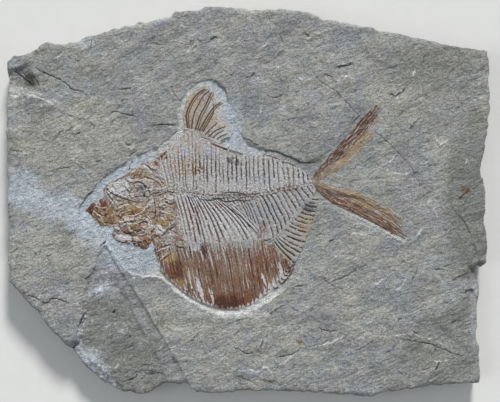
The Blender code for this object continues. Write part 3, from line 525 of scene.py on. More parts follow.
# The bar under the dorsal fin: each bone's line and half width in mm.
FIN_BASE_BARS = (
    (((183.5, 129), (188, 129.2), (193, 131.3)), 0.62), (((193, 132), (197, 134.5), (200.5, 137.5)), 0.58),
    (((201, 138.5), (207, 140.5), (214.5, 143)), 0.62), (((215, 143.5), (221, 146), (228, 148.5)), 0.50),
    (((229, 149), (236, 151), (243, 153.5)), 0.42),
)

def place(points):
    """Tracing-grid points as an array of x and y in metres."""
    grid = np.asarray(points, float)
    x = slab_low.x + (grid[..., 0] - FIRST_COLUMN) * GRID
    y = slab_high.y - (grid[..., 1] - FIRST_ROW) * GRID
    return np.stack([x, y], axis=-1)


def curve(points, closed=False):
    """Twelve points for each span of a Catmull-Rom curve; a closed one ends where it starts."""
    p = np.asarray(points, float)
    p = np.vstack([p[-1:], p, p[:2]]) if closed else np.vstack([2 * p[0] - p[1], p, 2 * p[-1] - p[-2]])
    t = np.arange(12)[:, None] / 12
    spans = [
        0.5 * (2 * b + (c - a) * t + (2 * a - 5 * b + 4 * c - d) * t**2 + (3 * b - a - 3 * c + d) * t**3)
        for a, b, c, d in zip(p, p[1:], p[2:], p[3:])
    ]
    return np.vstack([*spans, p[-2:-1]])


def sampled(line, at, along):
    """The line's points where along, which rises along it, has the values in at."""
    return np.stack([np.interp(at, along, line[:, k]) for k in (0, 1)], axis=1)


def run_of(line):
    """How far along a line each of its points lies."""
    return np.concatenate([[0], np.cumsum(np.hypot(*np.diff(line, axis=0).T))])


def resampled(line, spacing=None, count=None, closed=False):
    """Points at even spacing, or count of them, along a line of points."""
    run = run_of(line)
    count = count or max(3, int(round(run[-1] / spacing)) + 1)
    found = sampled(line, np.linspace(0, run[-1], count), run)
    return found[:-1] if closed else found


def smooth(points, spacing=None, count=None, closed=False):
    """Points at even spacing, or count of them, on a curve through points."""
    return resampled(curve(points, closed), spacing, count, closed)


def traced(points, spacing=1.5 * MM, closed=False):
    """Points at even spacing, in metres, on a curve through tracing-grid points."""
    return smooth(place(points), spacing=spacing, closed=closed)


def through(points, count):
    """Count points on a curve through points, with as many in each span."""
    fine = curve(points)
    return sampled(fine, np.linspace(0, len(fine) - 1, count), np.arange(len(fine)))


def near_line(points, line, closed=False):
    """Each point's distance to the line, how far along that is (0 to 1), and the side: 1 left, -1 right."""
    best = np.full(len(points), np.inf)
    along = np.zeros(len(points))
    side = np.zeros(len(points))
    ends = np.roll(line, -1, axis=0) if closed else line[1:]
    run = 0.0
    for a, b in zip(line, ends):
        span = b - a
        length = math.hypot(*span)
        away = points - a
        t = np.clip(away @ span / length**2, 0, 1)
        gap = np.hypot(*(away - t[:, None] * span).T)
        closer = gap < best
        best[closer] = gap[closer]
        along[closer] = run + t[closer] * length
        side[closer] = np.sign(span[0] * away[closer, 1] - span[1] * away[closer, 0])
        run += length
    return best, along / run, side


def depth_in(points, polygon):
    """Distance from the polygon's edge: above 0 inside it and below 0 outside."""
    inside = np.zeros(len(points), bool)
    for a, b in zip(polygon, np.roll(polygon, -1, axis=0)):
        crosses = (a[1] > points[:, 1]) != (b[1] > points[:, 1])
        rise = b[1] - a[1] if b[1] != a[1] else 1.0
        inside ^= crosses & (points[:, 0] < a[0] + (b[0] - a[0]) * (points[:, 1] - a[1]) / rise)
    gap = near_line(points, polygon, closed=True)[0]
    return np.where(inside, gap, -gap)


def inward(polygon, distance, reach=1):
    """The clockwise polygon with each corner moved inwards, square to the run of reach corners each way."""
    tangent = np.roll(polygon, -reach, axis=0) - np.roll(polygon, reach, axis=0)
    tangent /= np.hypot(*tangent.T)[:, None]
    return polygon + np.stack([tangent[:, 1], -tangent[:, 0]], axis=1) * np.reshape(distance, (-1, 1))


def beside(line, distance):
    """The open line moved to its left by distance."""
    tangent = np.gradient(line, axis=0)
    tangent /= np.hypot(*tangent.T)[:, None]
    return line + np.stack([-tangent[:, 1], tangent[:, 0]], axis=1) * distance


def ramp(value, start, end):
    """0 at start and before it, 1 at end and past it, smooth between."""
    t = np.clip((value - start) / (end - start), 0, 1)
    return t * t * (3 - 2 * t)


def by_column(points, start, end):
    """0 at the grid column start and 1 at the column end, smooth between and level beyond them."""
    return ramp(points[..., 0], *place(((start, 0), (end, 0)))[:, 0])


def by_row(points, start, end):
    """The same down the face, from the grid row start to the row end."""
    return ramp(points[..., 1], *place(((0, start), (0, end)))[:, 1])


def fading_ends(along):
    """1 over the middle half of a line, falling to 0 at both of its ends."""
    return ramp(along, 0, 0.25) * ramp(1 - along, 0, 0.25)


TURNS = np.random.default_rng(SEED).uniform(0, 2 * math.pi, (256, 256))
EAST, NORTH = np.cos(TURNS), np.sin(TURNS)


def ripples(x, y, seed=0.0):
    """Smooth gradient noise, about -1 to 1, with a wavelength of 1."""
    x, y = np.broadcast_arrays(x + 37.73 * seed, y + 91.31 * seed)
    i, j = np.floor(x).astype(int), np.floor(y).astype(int)
    fx, fy = x - i, y - j
    sx, sy = (t * t * t * (t * (t * 6 - 15) + 10) for t in (fx, fy))

    def corner(right, up):
        at = ((i + right) & 255, (j + up) & 255)
        return EAST[at] * (fx - right) + NORTH[at] * (fy - up)

    low = corner(0, 0) * (1 - sx) + corner(1, 0) * sx
    high = corner(0, 1) * (1 - sx) + corner(1, 1) * sx
    return 1.5 * (low * (1 - sy) + high * sy)


def fractal(x, y, octaves=2, seed=0.0):
    """Gradient noise that carries finer and weaker noise."""
    return sum(ripples(x * 2**k, y * 2**k, seed + 5.17 * k) / 2**k for k in range(octaves))


def grain(points, size, octaves=2, seed=0.0, stretch=1.0, lean=0.0):
    """Noise with a wavelength of size metres, stretched along a line that leans by lean degrees."""
    turn = math.radians(lean)
    along = points @ np.array((math.cos(turn), math.sin(turn))) / (size * stretch)
    across = points @ np.array((-math.sin(turn), math.cos(turn))) / size
    return fractal(along, across, octaves, seed)


def terraces(value, step, riser=0.14):
    """Turns a slow rise into flat treads and short risers."""
    level = np.floor(value / step)
    return step * (level + ramp(value / step - level, 1 - riser, 1.0))


def patch_strength(points, middle, half):
    """1 in the middle of an oval patch on the grid, falling to 0 past its edge, which is a little ragged."""
    share = np.hypot(*((points - place(middle)) / (np.asarray(half) * GRID)).T)
    close = np.nonzero(share < 1.9)[0]
    strength = np.zeros(len(points))
    ragged = 0.22 * grain(points[close], 0.8 * min(half) * GRID, 3, 3.0)
    strength[close] = ramp(1.35 - share[close] + ragged, 0, 0.8)
    return strength


def add_patches(masks, patches, points, share=1.0):
    """Adds patches, listed by kind, to the masks that colour the points."""
    for kind, places in patches.items():
        for column, row, wide, high, strength in places:
            masks[kind] += strength * patch_strength(points, (column, row), (wide, high)) * share


def close_to(points, line, reach):
    """The numbers of the points in the line's box, grown by reach."""
    low, high = line.min(0) - reach, line.max(0) + reach
    return np.nonzero(((points > low) & (points < high)).all(axis=1))[0]


def triangulated(loops, loose):
    """Constrained triangulation of lines, each with whether it is closed, and of the loose points between."""
    points = []
    edges = []
    for line, closed in loops:
        first = len(points)
        points.extend(line)
        edges.extend((first + i, first + i + 1) for i in range(len(line) - 1))
        if closed:
            edges.append((first + len(line) - 1, first))
    points.extend(loose)
    millimetres = [Vector(p / MM) for p in points]
    found, _, faces, origins, _, _ = delaunay_2d_cdt(millimetres, edges, [], 0, 1e-4)
    index_of = {source: i for i, sources in enumerate(origins) for source in sources}
    return np.array([tuple(p) for p in found]) * MM, np.array(faces), index_of


def scattered(low, high, spacing, rng):
    """Points about spacing apart, in staggered rows that are shaken a little."""
    xs = np.arange(low[0], high[0], spacing)
    ys = np.arange(low[1], high[1], spacing * 0.9)
    x, y = np.meshgrid(xs, ys)
    x = x + (np.arange(len(ys)) % 2)[:, None] * spacing / 2
    shake = rng.uniform(-0.22, 0.22, (2, *x.shape)) * spacing
    return np.stack([(x + shake[0]).ravel(), (y + shake[1]).ravel()], axis=1)


def spaced_from(points, fixed, gap):
    """Which points are further than gap from every fixed one, looked up in square cells of that size."""
    cells = {}
    for x, y in fixed.tolist():
        cells.setdefault((int(x // gap), int(y // gap)), []).append((x, y))
    keep = []
    for x, y in points.tolist():
        column, row = int(x // gap), int(y // gap)
        near = (
            (x - a) ** 2 + (y - b) ** 2 < gap * gap
            for i in (-1, 0, 1)
            for j in (-1, 0, 1)
            for a, b in cells.get((column + i, row + j), ())
        )
        keep.append(not any(near))
    return np.array(keep)


def filled(ring, spacing=None, rng=None):
    """Points and triangles that fill a ring: its own points first, then others that are spacing apart."""
    loose = []
    if spacing:
        loose = scattered(ring.min(0), ring.max(0), spacing, rng)
        loose = loose[depth_in(loose, ring) > 0.6 * spacing]
    points, faces, index_of = triangulated([(ring, True)], loose)
    order = [index_of[i] for i in range(len(ring))]
    rest = sorted(set(range(len(points))) - set(order))
    renumber = np.empty(len(points), int)
    renumber[order + rest] = np.arange(len(points))
    middles = points[faces].mean(axis=1)
    return points[order + rest], renumber[faces[depth_in(middles, ring) > 0]]


def wall_between(upper, lower):
    """Quads between two closed rings of vertex numbers."""
    return np.column_stack([upper, np.roll(upper, -1), np.roll(lower, -1), lower]).tolist()


def mesh_object(name, vertices, faces, masks, material):
    """A smooth-shaded mesh object with one float attribute for each mask."""
    mesh = bpy.data.meshes.new(name)
    mesh.from_pydata(vertices.tolist(), [], faces)
    mesh.shade_smooth()
    for mask, values in masks.items():
        attribute = mesh.attributes.new(mask, "FLOAT", "POINT")
        attribute.data.foreach_set("value", np.asarray(values, np.float32))
    mesh.materials.append(material)
    made = bpy.data.objects.new(name, mesh)
    bpy.context.scene.collection.objects.link(made)
    return made


# ---------------------------------------------------------------- the stone

STONE_MASKS = ("halo_and_highlight", "dust", "buff", "lilac", "shade", "scuff_and_highlight", "rust", "dark")


class Stone:
    """The slab's face as a height and a set of masks over x and y."""

    def __init__(self):
        rng = np.random.default_rng(SEED)
        hollow = traced(HOLLOW_RIM, 0.8 * MM, closed=True)
        self.hollow = inward(hollow, 0.55 * MM * grain(hollow, 3.2 * MM, 3, 45.0), reach=3)
        self.flaked = [(place(rim), depth * MM, wall * MM) for rim, depth, wall in FLAKED]
        self.tail_rears = [traced(line) for line in (TAIL_UPPER_REAR, TAIL_LOWER_REAR)]
        self.cracks = [
            (self.shaken(points, 0.9 * MM, 0.26 * MM, rng), 0.85 * half_width * MM, depth * MM)
            for points, half_width, depth in CRACKS
        ]
        self.layers = [
            (self.shaken(points, 0.8 * MM, 0.28 * MM, rng), rise * MM) for points, rise in LAYER_EDGES
        ]
        self.layers += [self.small_edge(rng) for _ in range(SMALL_EDGES)]

    @staticmethod
    def shaken(points, spacing, shake, rng):
        line = traced(points, spacing)
        line[1:-1] += rng.uniform(-shake, shake, (len(line) - 2, 2))
        return line

    def small_edge(self, rng):
        """A short broken edge of a thin layer, anywhere on the face, that leans up to the right."""
        column, row = rng.uniform(20, 470), rng.uniform(25, 380)
        length, turn = rng.uniform(6, 24), math.radians(rng.normal(24, 24))
        across, down = math.cos(turn) * length / 2, -math.sin(turn) * length / 2
        bend = rng.uniform(-0.3, 0.3) * length
        points = ((column - across, row - down), (column, row + bend), (column + across, row + down))
        line = self.shaken(points, 0.8 * MM, 0.36 * MM, rng)
        return line, rng.choice((-1, -1, 1)) * rng.uniform(0.16, 0.42) * MM

    def fork(self, points):
        """1 along the tail's rear edges, where the hollow runs out into the face, and 0 away from them."""
        share = np.zeros(len(points))
        near = np.nonzero(points[:, 0] > place((316, 0))[0])[0]
        if len(near):
            gap = np.minimum(*(near_line(points[near], line)[0] for line in self.tail_rears))
            share[near] = (1 - ramp(gap, 2.2 * MM, 5.8 * MM)) * by_column(points[near], 317, 337)
        return share

    @staticmethod
    def tips(points):
        """1 at the tail's tips, falling to 0 away from them."""
        share = np.zeros(len(points))
        for tip, reach in TAIL_TIPS:
            gap = np.hypot(*(points - place(tip)).T)
            share = np.maximum(share, 1 - ramp(gap, 0.35 * reach * GRID, reach * GRID))
        return share

    def rise(self, points):
        """How much higher than the hollow's floor the stone under the tail lies."""
        return np.maximum(1.15 * self.fork(points), 1.2 * self.tips(points)) * MM

    def wall_width(self, points):
        """The hollow's wall is wider where it was cut at a low angle."""
        width = np.full(len(points), 0.60 * MM)
        for middle, half, wider in WALL_SLOPES:
            width += wider * MM * patch_strength(points, middle, half)
        return width + 2.8 * MM * self.fork(points) + 2.5 * MM * self.tips(points)

    def height(self, points, depth):
        """The face's height, given each point's depth in the hollow."""
        worked = ramp(depth / self.wall_width(points), 0, 1)
        swell = 0.30 * MM * grain(points, 46 * MM, 2, 3.1)
        layers = grain(points, 17 * MM, 4, 7.7, stretch=1.6, lean=26)
        layers += 0.9 * (terraces(layers, 0.42) - layers) * ramp(grain(points, 21 * MM, 2, 9.9), -0.45, 0.0)
        scales = grain(points, 5.5 * MM, 3, 12.3, stretch=1.5, lean=28)
        scales = terraces(scales, 0.34, 0.2)
        pocks = -0.30 * MM * ramp(grain(points, 2.8 * MM, 2, 31.0, stretch=1.5, lean=20), 0.62, 0.95)
        face = FACE - 0.42 * MM + swell + 0.80 * MM * layers + 0.36 * MM * scales + pocks
        for rim, deep, wall in self.flaked:
            rough = 1 + 0.35 * grain(points, 5 * MM, 3, deep / MM)
            face -= deep * ramp(depth_in(points, rim) * rough, 0, wall)
        for line, rise in self.layers:
            close = close_to(points, line, 9 * MM)
            gap, along, side = near_line(points[close], line)
            whole = gap * side * np.sign(rise)
            slope = np.exp(-np.maximum(whole, 0) / (2.6 * MM))
            slope = np.where(whole < -1e-6, np.clip(1 + whole / (0.3 * MM), 0, 1), slope)
            face[close] += abs(rise) * slope * fading_ends(along)
        for line, half_width, deep in self.cracks:
            close = close_to(points, line, 2 * MM)
            gap, tapered = self.crack_share(points[close], line)
            face[close] -= deep * tapered * np.clip(1 - gap / (half_width * (0.5 + 0.5 * tapered)), 0, 1)
        floor = FLOOR + self.rise(points) + 0.10 * MM + 0.07 * MM * grain(points, 2.2 * MM, 3, 5.5)
        height = face * (1 - worked) + np.minimum(floor, face) * worked
        return np.minimum(height, slab_high.z - 0.05 * MM)

    @staticmethod
    def crack_share(points, line):
        """Each point's distance to a crack, and how open the crack is there, from 0.15 at its ends to 1."""
        gap, along, _ = near_line(points, line)
        return gap, 0.15 + 0.85 * np.minimum(1, 5 * np.minimum(along, 1 - along))

    def masks(self, points, depth):
        """What colours the face, given each point's depth in the hollow."""
        masks = {name: np.zeros(len(points)) for name in STONE_MASKS}
        uneven = 0.9 * MM * grain(points, 4 * MM, 3, 44.0)
        masks["halo_and_highlight"] += 0.15 * ramp(depth + uneven, -1.2 * MM, 0)
        masks["halo_and_highlight"] += 1.15 * ramp(depth + 0.2 * uneven, -0.3 * MM, 0.4 * MM)
        masks["halo_and_highlight"] *= (1 - 0.95 * by_column(points, 312, 335)) * (1 - 0.85 * by_column(points, 258, 296))
        # A thin painted highlight along the lower tail lobe's front, where the hollow's lower wall catches
        # the light.
        gap = near_line(points, traced(TAIL_LOWER_FRONT))[0] + 0.3 * uneven
        masks["halo_and_highlight"] += 1.3 * (1 - ramp(gap, 0.9 * MM, 1.8 * MM)) * by_column(points, 328, 345)
        add_patches(masks, HOLLOW_PATCHES, points, ramp(depth + 0.3 * uneven, 0.1 * MM, 0.8 * MM))
        on_wall = ramp(depth, -0.1 * MM, 0.3 * MM) * (1 - ramp(depth + 0.5 * uneven, 0.6 * MM, 2.0 * MM))
        # Painted shadow on the stretches of the hollow's wall that face away from the light, in the dark and
        # shade masks.
        for middle, half, strength in PAINTED_WALL_SHADOWS:
            share = strength * patch_strength(points, middle, half) * on_wall
            masks["dark"] += share
            masks["shade"] += 1.4 * share
        add_patches(masks, STONE_PATCHES, points)
        masks["halo_and_highlight"] *= 1 - 0.55 * by_row(points, 262, 225)
        at_left, below_fish = 1 - by_column(points, 150, 250), by_row(points, 300, 330)
        broad = grain(points, 15 * MM, 3, 72.0) * np.maximum(at_left, below_fish)
        masks["shade"] += 0.45 * ramp(broad, 0.10, 0.8)
        masks["scuff_and_highlight"] += 0.30 * ramp(-broad, 0.20, 0.9)
        (outer, *_), (inner, *_) = self.flaked[:2]
        in_outer, in_inner = (ramp(depth_in(points, rim), -0.3 * MM, 0.4 * MM) for rim in (outer, inner))
        band = in_outer * (1 - in_inner)
        masks["shade"] += 0.70 * in_inner + 0.30 * band
        masks["lilac"] += 0.50 * band
        masks["buff"] *= 1 - 0.5 * in_inner
        masks["buff"] *= 1 - 0.6 * band
        gap = near_line(points, traced(WEDGE_FRINGE))[0] + 1.6 * MM * grain(points, 3.0 * MM, 3, 17.0)
        rough = grain(points, 1.7 * MM, 3, 18.0)
        masks["dust"] += 0.75 * (1 - ramp(gap, 0.8 * MM, 4.5 * MM)) * in_outer * ramp(rough, -0.7, 0.4)
        masks["scuff_and_highlight"] += 0.9 * (1 - ramp(gap, 0.2 * MM, 3.2 * MM)) * ramp(rough, 0.0, 0.6)
        masks["scuff_and_highlight"] += 0.55 * in_outer * ramp(rough + 0.5 * grain(points, 7 * MM, 2, 19.0), 0.45, 0.9)
        # The dark middles of the cracks are partly their own dark lines and partly painted shade inside them.
        for line, half_width, deep in self.cracks:
            close = close_to(points, line, 2 * MM)
            gap, tapered = self.crack_share(points[close], line)
            broken = ramp(grain(points[close], 2.5 * MM, 2, 19.0), -0.75, 0.0)
            core = np.clip(1.15 - gap / (1.15 * half_width), 0, 1)
            mark = tapered * broken * core * min(1.0, 0.35 + deep / MM)
            masks["dark"][close] = np.maximum(masks["dark"][close], mark)
        for line, rise in self.layers:
            close = close_to(points, line, 2 * MM)
            gap, along, _ = near_line(points[close], line)
            mark = fading_ends(along) * np.clip(1.1 - gap / (0.5 * MM), 0, 1)
            mark *= ramp(grain(points[close], 2.2 * MM, 2, 20.0), -0.6, 0.3)
            # The light marks along these steps are painted highlight and the dark marks painted shade.
            name, strength = ("scuff_and_highlight", 3.2) if rise < 0 else ("dark", 2.9)
            masks[name][close] = np.maximum(masks[name][close], mark * strength * abs(rise) / MM)
        return masks


def side_rings(outline, top):
    """Rings of points from the face's rim down the broken side to the back, and their heights."""
    count = len(outline)
    turn = np.linspace(0, 2 * math.pi, count, endpoint=False)
    girth = 0.14  # the radius of a circle about as long as the outline
    x, y = girth * np.cos(turn), girth * np.sin(turn)
    for row in range(1, SIDE_ROWS + 1):
        t = row / SIDE_ROWS
        strata = terraces(fractal(x / (18 * MM), y / (18 * MM) + t * 4.0, 3, 80.0), 0.3, 0.4)
        crumbs = fractal(x / (4 * MM) + t * 3.0, y / (4 * MM) - t * 3.0, 3, 81.0)
        beds = 0.22 * MM * ripples(np.full(count, t * 9.0), x / (60 * MM), 82.0)
        inset = UNDERCUT * ramp(t, 0.45, 1.0) + 0.8 * MM * np.maximum(0, strata + 0.3)
        inset = (inset + 0.32 * MM * np.maximum(0, crumbs + 0.2) + beds) * ramp(t, 0.0, 0.16)
        ring = inward(outline, np.maximum(0, inset) + 0.6 * RIM_INSET * (1 - ramp(t, 0.0, 0.12)), reach=4)
        height = top * (1 - t) ** 1.08 + 0.2 * MM * crumbs * math.sin(math.pi * t)
        yield ring, height if row < SIDE_ROWS else np.zeros(count)


def within(line, closed, rim):
    """The stretches of a line that lie well inside the rim."""
    keep = depth_in(line, rim) > 0.6 * MM
    if keep.all():
        return [(line, closed)]
    breaks = np.nonzero(np.diff(keep.astype(int)))[0] + 1
    pieces = zip(np.split(line, breaks), np.split(keep, breaks))
    return [(piece, False) for piece, kept in pieces if kept[0] and len(piece) > 1]


def stone_lines(stone, rim):
    """The lines that the face's triangles follow: rim, hollow's wall, cracks and layers' edges."""
    width = stone.wall_width(stone.hollow)
    inner = [(inward(stone.hollow, width * share, reach=2), True) for share in (0, 0.35, 0.7, 1.0)]
    for line, half_width, _ in stone.cracks:
        t = np.linspace(0, 1, len(line))
        taper = np.minimum(1, 6 * t * (1 - t) + 0.2)[:, None]
        inner += [(beside(line, side * half_width * taper), False) for side in (-1, 0, 1)]
    for line, rise in stone.layers:
        inner += [(line, False), (beside(line, -0.3 * MM * np.sign(rise)), False)]
    return [(rim, True)] + [kept for line, closed in inner for kept in within(line, closed, rim)]


def make_slab(stone, material):
    """The whole slab as one closed mesh: its face, its broken sides and its flat back."""
    rng = np.random.default_rng(SEED)
    outline = resampled(np.vstack([place(OUTLINE), place(OUTLINE[:1])]), spacing=0.8 * MM, closed=True)
    chips = np.maximum(0, grain(outline, 6 * MM, 3, 40.0) + 0.1)
    chips += 0.8 * ramp(grain(outline, 11 * MM, 2, 41.0), 0.3, 0.6)
    outline = inward(outline, 0.8 * MM * chips, reach=3)
    rim = inward(outline, RIM_INSET * (1 + 0.5 * grain(outline, 6 * MM, 2, 50.0)), reach=4)
    loops = stone_lines(stone, rim)

    low, high = rim.min(0), rim.max(0)
    open_points = scattered(low, high, STONE_SPACING, rng)
    hidden_points = scattered(low, high, HIDDEN_SPACING, rng)
    open_points = open_points[depth_in(open_points, stone.hollow) < UNDER_BONES]
    hidden_points = hidden_points[depth_in(hidden_points, stone.hollow) >= UNDER_BONES]
    loose = np.vstack([open_points, hidden_points])
    loose = loose[depth_in(loose, rim) > 0.5 * MM]
    loose = loose[spaced_from(loose, np.vstack([line for line, _ in loops]), 0.4 * MM)]
    points, faces, index_of = triangulated(loops, loose)
    faces = faces[depth_in(points[faces].mean(axis=1), rim) > 0]
    upper = np.array([index_of[i] for i in range(len(rim))])
    used = np.unique(np.concatenate([faces.ravel(), upper]))
    renumber = np.full(len(points), -1)
    renumber[used] = np.arange(len(used))
    points, faces, upper = points[used], renumber[faces], renumber[upper]

    depth = depth_in(points, stone.hollow)
    heights = stone.height(points, depth)
    worn = 1 - ramp(depth_in(points, outline), RIM_INSET * 0.6, 2.4 * MM)
    heights -= 0.55 * MM * worn * (1 + grain(points, 7 * MM, 2, 60.0))
    masks = stone.masks(points, depth)
    masks["scuff_and_highlight"] += 0.5 * worn * ramp(grain(points, 9 * MM, 3, 61.0), 0.1, 0.5)
    vertices = [np.column_stack([points, heights])]
    shell = [faces.tolist()]
    first = len(points)
    for ring, height in side_rings(outline, heights[upper]):
        vertices.append(np.column_stack([ring, height]))
        lower = first + np.arange(len(rim))
        shell.append(wall_between(upper, lower))
        upper, first = lower, first + len(rim)
    back_points, back_faces = filled(ring, BACK_SPACING, rng)
    dents = 0.35 * MM * ramp(grain(back_points, 9 * MM, 3, 70.0), -0.1, 0.8)
    vertices.append(np.column_stack([back_points, dents])[len(rim):])
    renumber = np.concatenate([upper, first + np.arange(len(back_points) - len(rim))])
    shell.append(renumber[back_faces[:, ::-1]].tolist())
    vertices = np.vstack(vertices)
    extra = len(vertices) - len(points)
    masks = {name: np.concatenate([values, np.zeros(extra)]) for name, values in masks.items()}
    slab = mesh_object("limestone_slab", vertices, [face for part in shell for face in part], masks, material)
    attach(slab, "root")
    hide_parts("slab")


# ---------------------------------------------------------------- the bones

BONE_MASKS = ("rust", "ochre", "dark", "chalk", "slate", "bare")


class Patch:
    """A piece of bone: its points, their lift over the bed, its faces, the ring round it, and its masks."""

    def __init__(self, points, lift, faces, ring, masks):
        self.points, self.lift, self.faces, self.ring = points, lift, faces, ring
        self.masks = {name: np.zeros(len(points)) + masks.get(name, 0.0) for name in BONE_MASKS}


def grid_patch(points, lift, masks):
    """A patch from arrays of rows by columns."""
    rows, columns = lift.shape
    number = np.arange(rows * columns).reshape(rows, columns)
    corners = (number[:-1, :-1], number[1:, :-1], number[1:, 1:], number[:-1, 1:])
    faces = np.stack(corners, axis=-1).reshape(-1, 4)
    ring = np.concatenate([number[0, :], number[1:, -1], number[-1, -2::-1], number[-2:0:-1, 0]])
    flat = {name: np.broadcast_to(values, lift.shape).ravel() for name, values in masks.items()}
    return Patch(points.reshape(-1, 2), lift.ravel(), faces, ring, flat)


class Sheet:
    """Rays between head and foot points: their points, and how far across (m) and down (0 to 1) each is."""

    def __init__(self, ends, bow=(0.0,)):
        heads, feet = place([head for head, _ in ends]), place([foot for _, foot in ends])
        columns = int(run_of(curve((heads + feet) / 2))[-1] / COLUMN_STEP)
        heads, feet = through(heads, columns), through(feet, columns)
        rows = int(np.hypot(*(feet - heads).T).max() / ROW_STEP)
        self.down = np.linspace(0, 1, rows)[:, None] * np.ones(columns)
        v = self.down[..., None]
        span = feet - heads
        aside = np.stack([-span[:, 1], span[:, 0]], axis=1)
        aside *= np.interp(np.linspace(0, 1, columns), np.linspace(0, 1, len(bow)), bow)[:, None]
        self.points = heads * (1 - v) + feet * v + aside * 4 * v * (1 - v)
        self.across = run_of(self.points[rows // 2]) * np.ones((rows, 1))

    def noise(self, across, down, octaves=2, seed=0.0):
        """Streaky noise: its wavelength across in metres, and how many waves it has from head to foot."""
        return fractal(self.across / across, self.down * down, octaves, seed)

    def grit(self, size, octaves=2, seed=0.0):
        return grain(self.points, size, octaves, seed)

    def mark_rays(self, pitches, rng, wander=0.10, jog=None, slack=0.2):
        """Marks out rays of uneven width, with pitches in metres from the first ray to the last.

        Keeps each place's ray, its share of the way across it, and its nearest edge and the distance to that.
        """
        end = self.across.max()
        pitch_at = np.linspace(0, end, len(pitches))
        edges = [-pitches[0]]
        while edges[-1] < end + 2 * pitches[-1]:
            step = np.interp(edges[-1], pitch_at, pitches)
            edges.append(edges[-1] + step * rng.uniform(1 - slack, 1 + slack))
        edges = np.array(edges)
        pitch = np.mean(pitches)
        moved = self.across + pitch * wander * self.noise(pitch * 1.5, 3, 3, pitches[0] / MM)
        if jog:
            moved = moved + 0.5 * pitch * ramp(self.down, *jog)
        self.ray = np.clip(np.searchsorted(edges, moved) - 1, 0, len(edges) - 2)
        self.share = (moved - edges[self.ray]) / (edges[self.ray + 1] - edges[self.ray])
        self.edge = self.ray + (self.share > 0.5)
        self.gap = np.abs(moved - edges[self.edge])
        self.count = len(edges) + 1

    def lines(self, rng, half_width, weakest=0.3, start=(-0.3, 0.1), end=(0.8, 1.5)):
        """The dark line between two rays, from 0 to 1, partly the seam's own colour and partly painted shade
        in the groove: each has its own strength, ends, width and breaks.
        """
        spans = ((weakest, 1), start, end)
        strength, first, last = (rng.uniform(*span, self.count)[self.edge] for span in spans)
        ends = ramp(self.down - first, 0, 0.08) * ramp(last - self.down, 0, 0.12)
        breaks = ramp(ripples(self.down * 11, self.edge * 7.31, 3.0), -0.62, -0.25)
        wide = half_width * (0.6 + 0.6 * strength)
        wide *= 1 + 0.4 * ripples(self.down * 17, self.edge * 5.17, 6.0)
        return strength * ends * breaks * (1 - ramp(self.gap, 0.35 * wide, 1.3 * wide))

    def crests(self, width=0.5):
        """1 along the middle of each ray, falling to 0 at that share of the way to its edges."""
        return 1 - ramp(np.abs(self.share - 0.5) * 2, 0.25 * width, width)

    def tones(self, rng):
        """A number from 0 to 1 for each ray, the same all along it."""
        return rng.uniform(0, 1, self.count)[self.ray]

    def patch(self, lift, **masks):
        return grid_patch(self.points, lift * MM, masks)


def outlined_patch(outline, rng, grown=0.4 * MM):
    """A flat patch with broken edges that fills an outline, grown a little to meet its neighbours."""
    ring = inward(traced(outline, PLATE_SPACING * 1.2, closed=True), -grown, reach=6)
    ring = inward(ring, 0.45 * MM * grain(ring, 2.0 * MM, 3, 90.0), reach=3)
    points, faces = filled(ring, PLATE_SPACING, rng)
    return Patch(points, np.zeros(len(points)), faces, np.arange(len(ring)), {})


def draw_on(patch, streaks=0.5):
    """Adds the bones' patches, stronger along the streaks, and lines to a patch's masks and lift."""
    add_patches(patch.masks, BONE_PATCHES, patch.points, 0.5 + streaks)
    for name, points, half_width, rise in BONE_LINES:
        line = traced(points, 0.6 * MM)
        line += 0.12 * MM * np.stack([grain(line, 1.5 * MM, 1, seed) for seed in (1.0, 2.0)], axis=1)
        close = close_to(patch.points, line, 2 * MM)
        if len(close) == 0:
            continue
        gap, along, _ = near_line(patch.points[close], line)
        tapered = 0.35 + 0.65 * np.minimum(1, 5 * np.minimum(along, 1 - along))
        tapered *= 1 + 0.35 * grain(patch.points[close], 1.2 * MM, 2, 7.0)
        share = ramp(1.3 - gap / (0.85 * half_width * MM * tapered), 0, 0.9)
        patch.lift[close] += rise * MM * share * tapered * 0.55
        for other in BONE_MASKS:
            patch.masks[other][close] *= 1 - 0.8 * share
        patch.masks[name][close] += 1.1 * share


def frayed(patch, stone, width, seed):
    """Lets a patch's outer edge, near the hollow's rim, dive unevenly under the stone."""
    edge = depth_in(patch.points, patch.points[patch.ring])
    outer = 1 - ramp(depth_in(patch.points, stone.hollow), 2.6 * MM, 3.6 * MM)
    uneven = np.maximum(width * (1 + 1.1 * grain(patch.points, 1.5 * MM, 3, seed)), 0.05 * MM)
    worn = (1 - ramp(edge, 0.2 * uneven, uneven)) * outer
    patch.masks["bare"] = np.maximum(patch.masks["bare"], worn)
    patch.lift = patch.lift * (1 - worn) - 0.38 * MM * worn
    return patch


def rod(points, half_width, height, taper=0.5, masks=None):
    """A half-round ray along a line of grid points, thinner towards its end."""
    line = traced(points, 0.35 * MM)
    line += 0.07 * MM * np.stack([grain(line, 2 * MM, 1, seed) for seed in (3.0, 4.0)], axis=1)
    t = np.linspace(0, 1, len(line))
    wide = half_width * MM * (1 - taper * t)
    wide[-1] *= 0.4
    profile = ((-1.0, -0.6), (-0.85, 0.5), (-0.35, 1.0), (0.35, 1.0), (0.85, 0.5), (1.0, -0.6))
    points = np.stack([beside(line, (wide * offset)[:, None]) for offset, _ in profile], axis=0)
    lift = np.array([[rise] for _, rise in profile]) * height * MM * (1 - 0.5 * taper * t)
    return grid_patch(points, lift, masks or {})


def signed_area(ring):
    """Above 0 for a ring that runs anticlockwise."""
    x, y = ring.T
    return 0.5 * float(np.sum(x * np.roll(y, -1) - np.roll(x, -1) * y))


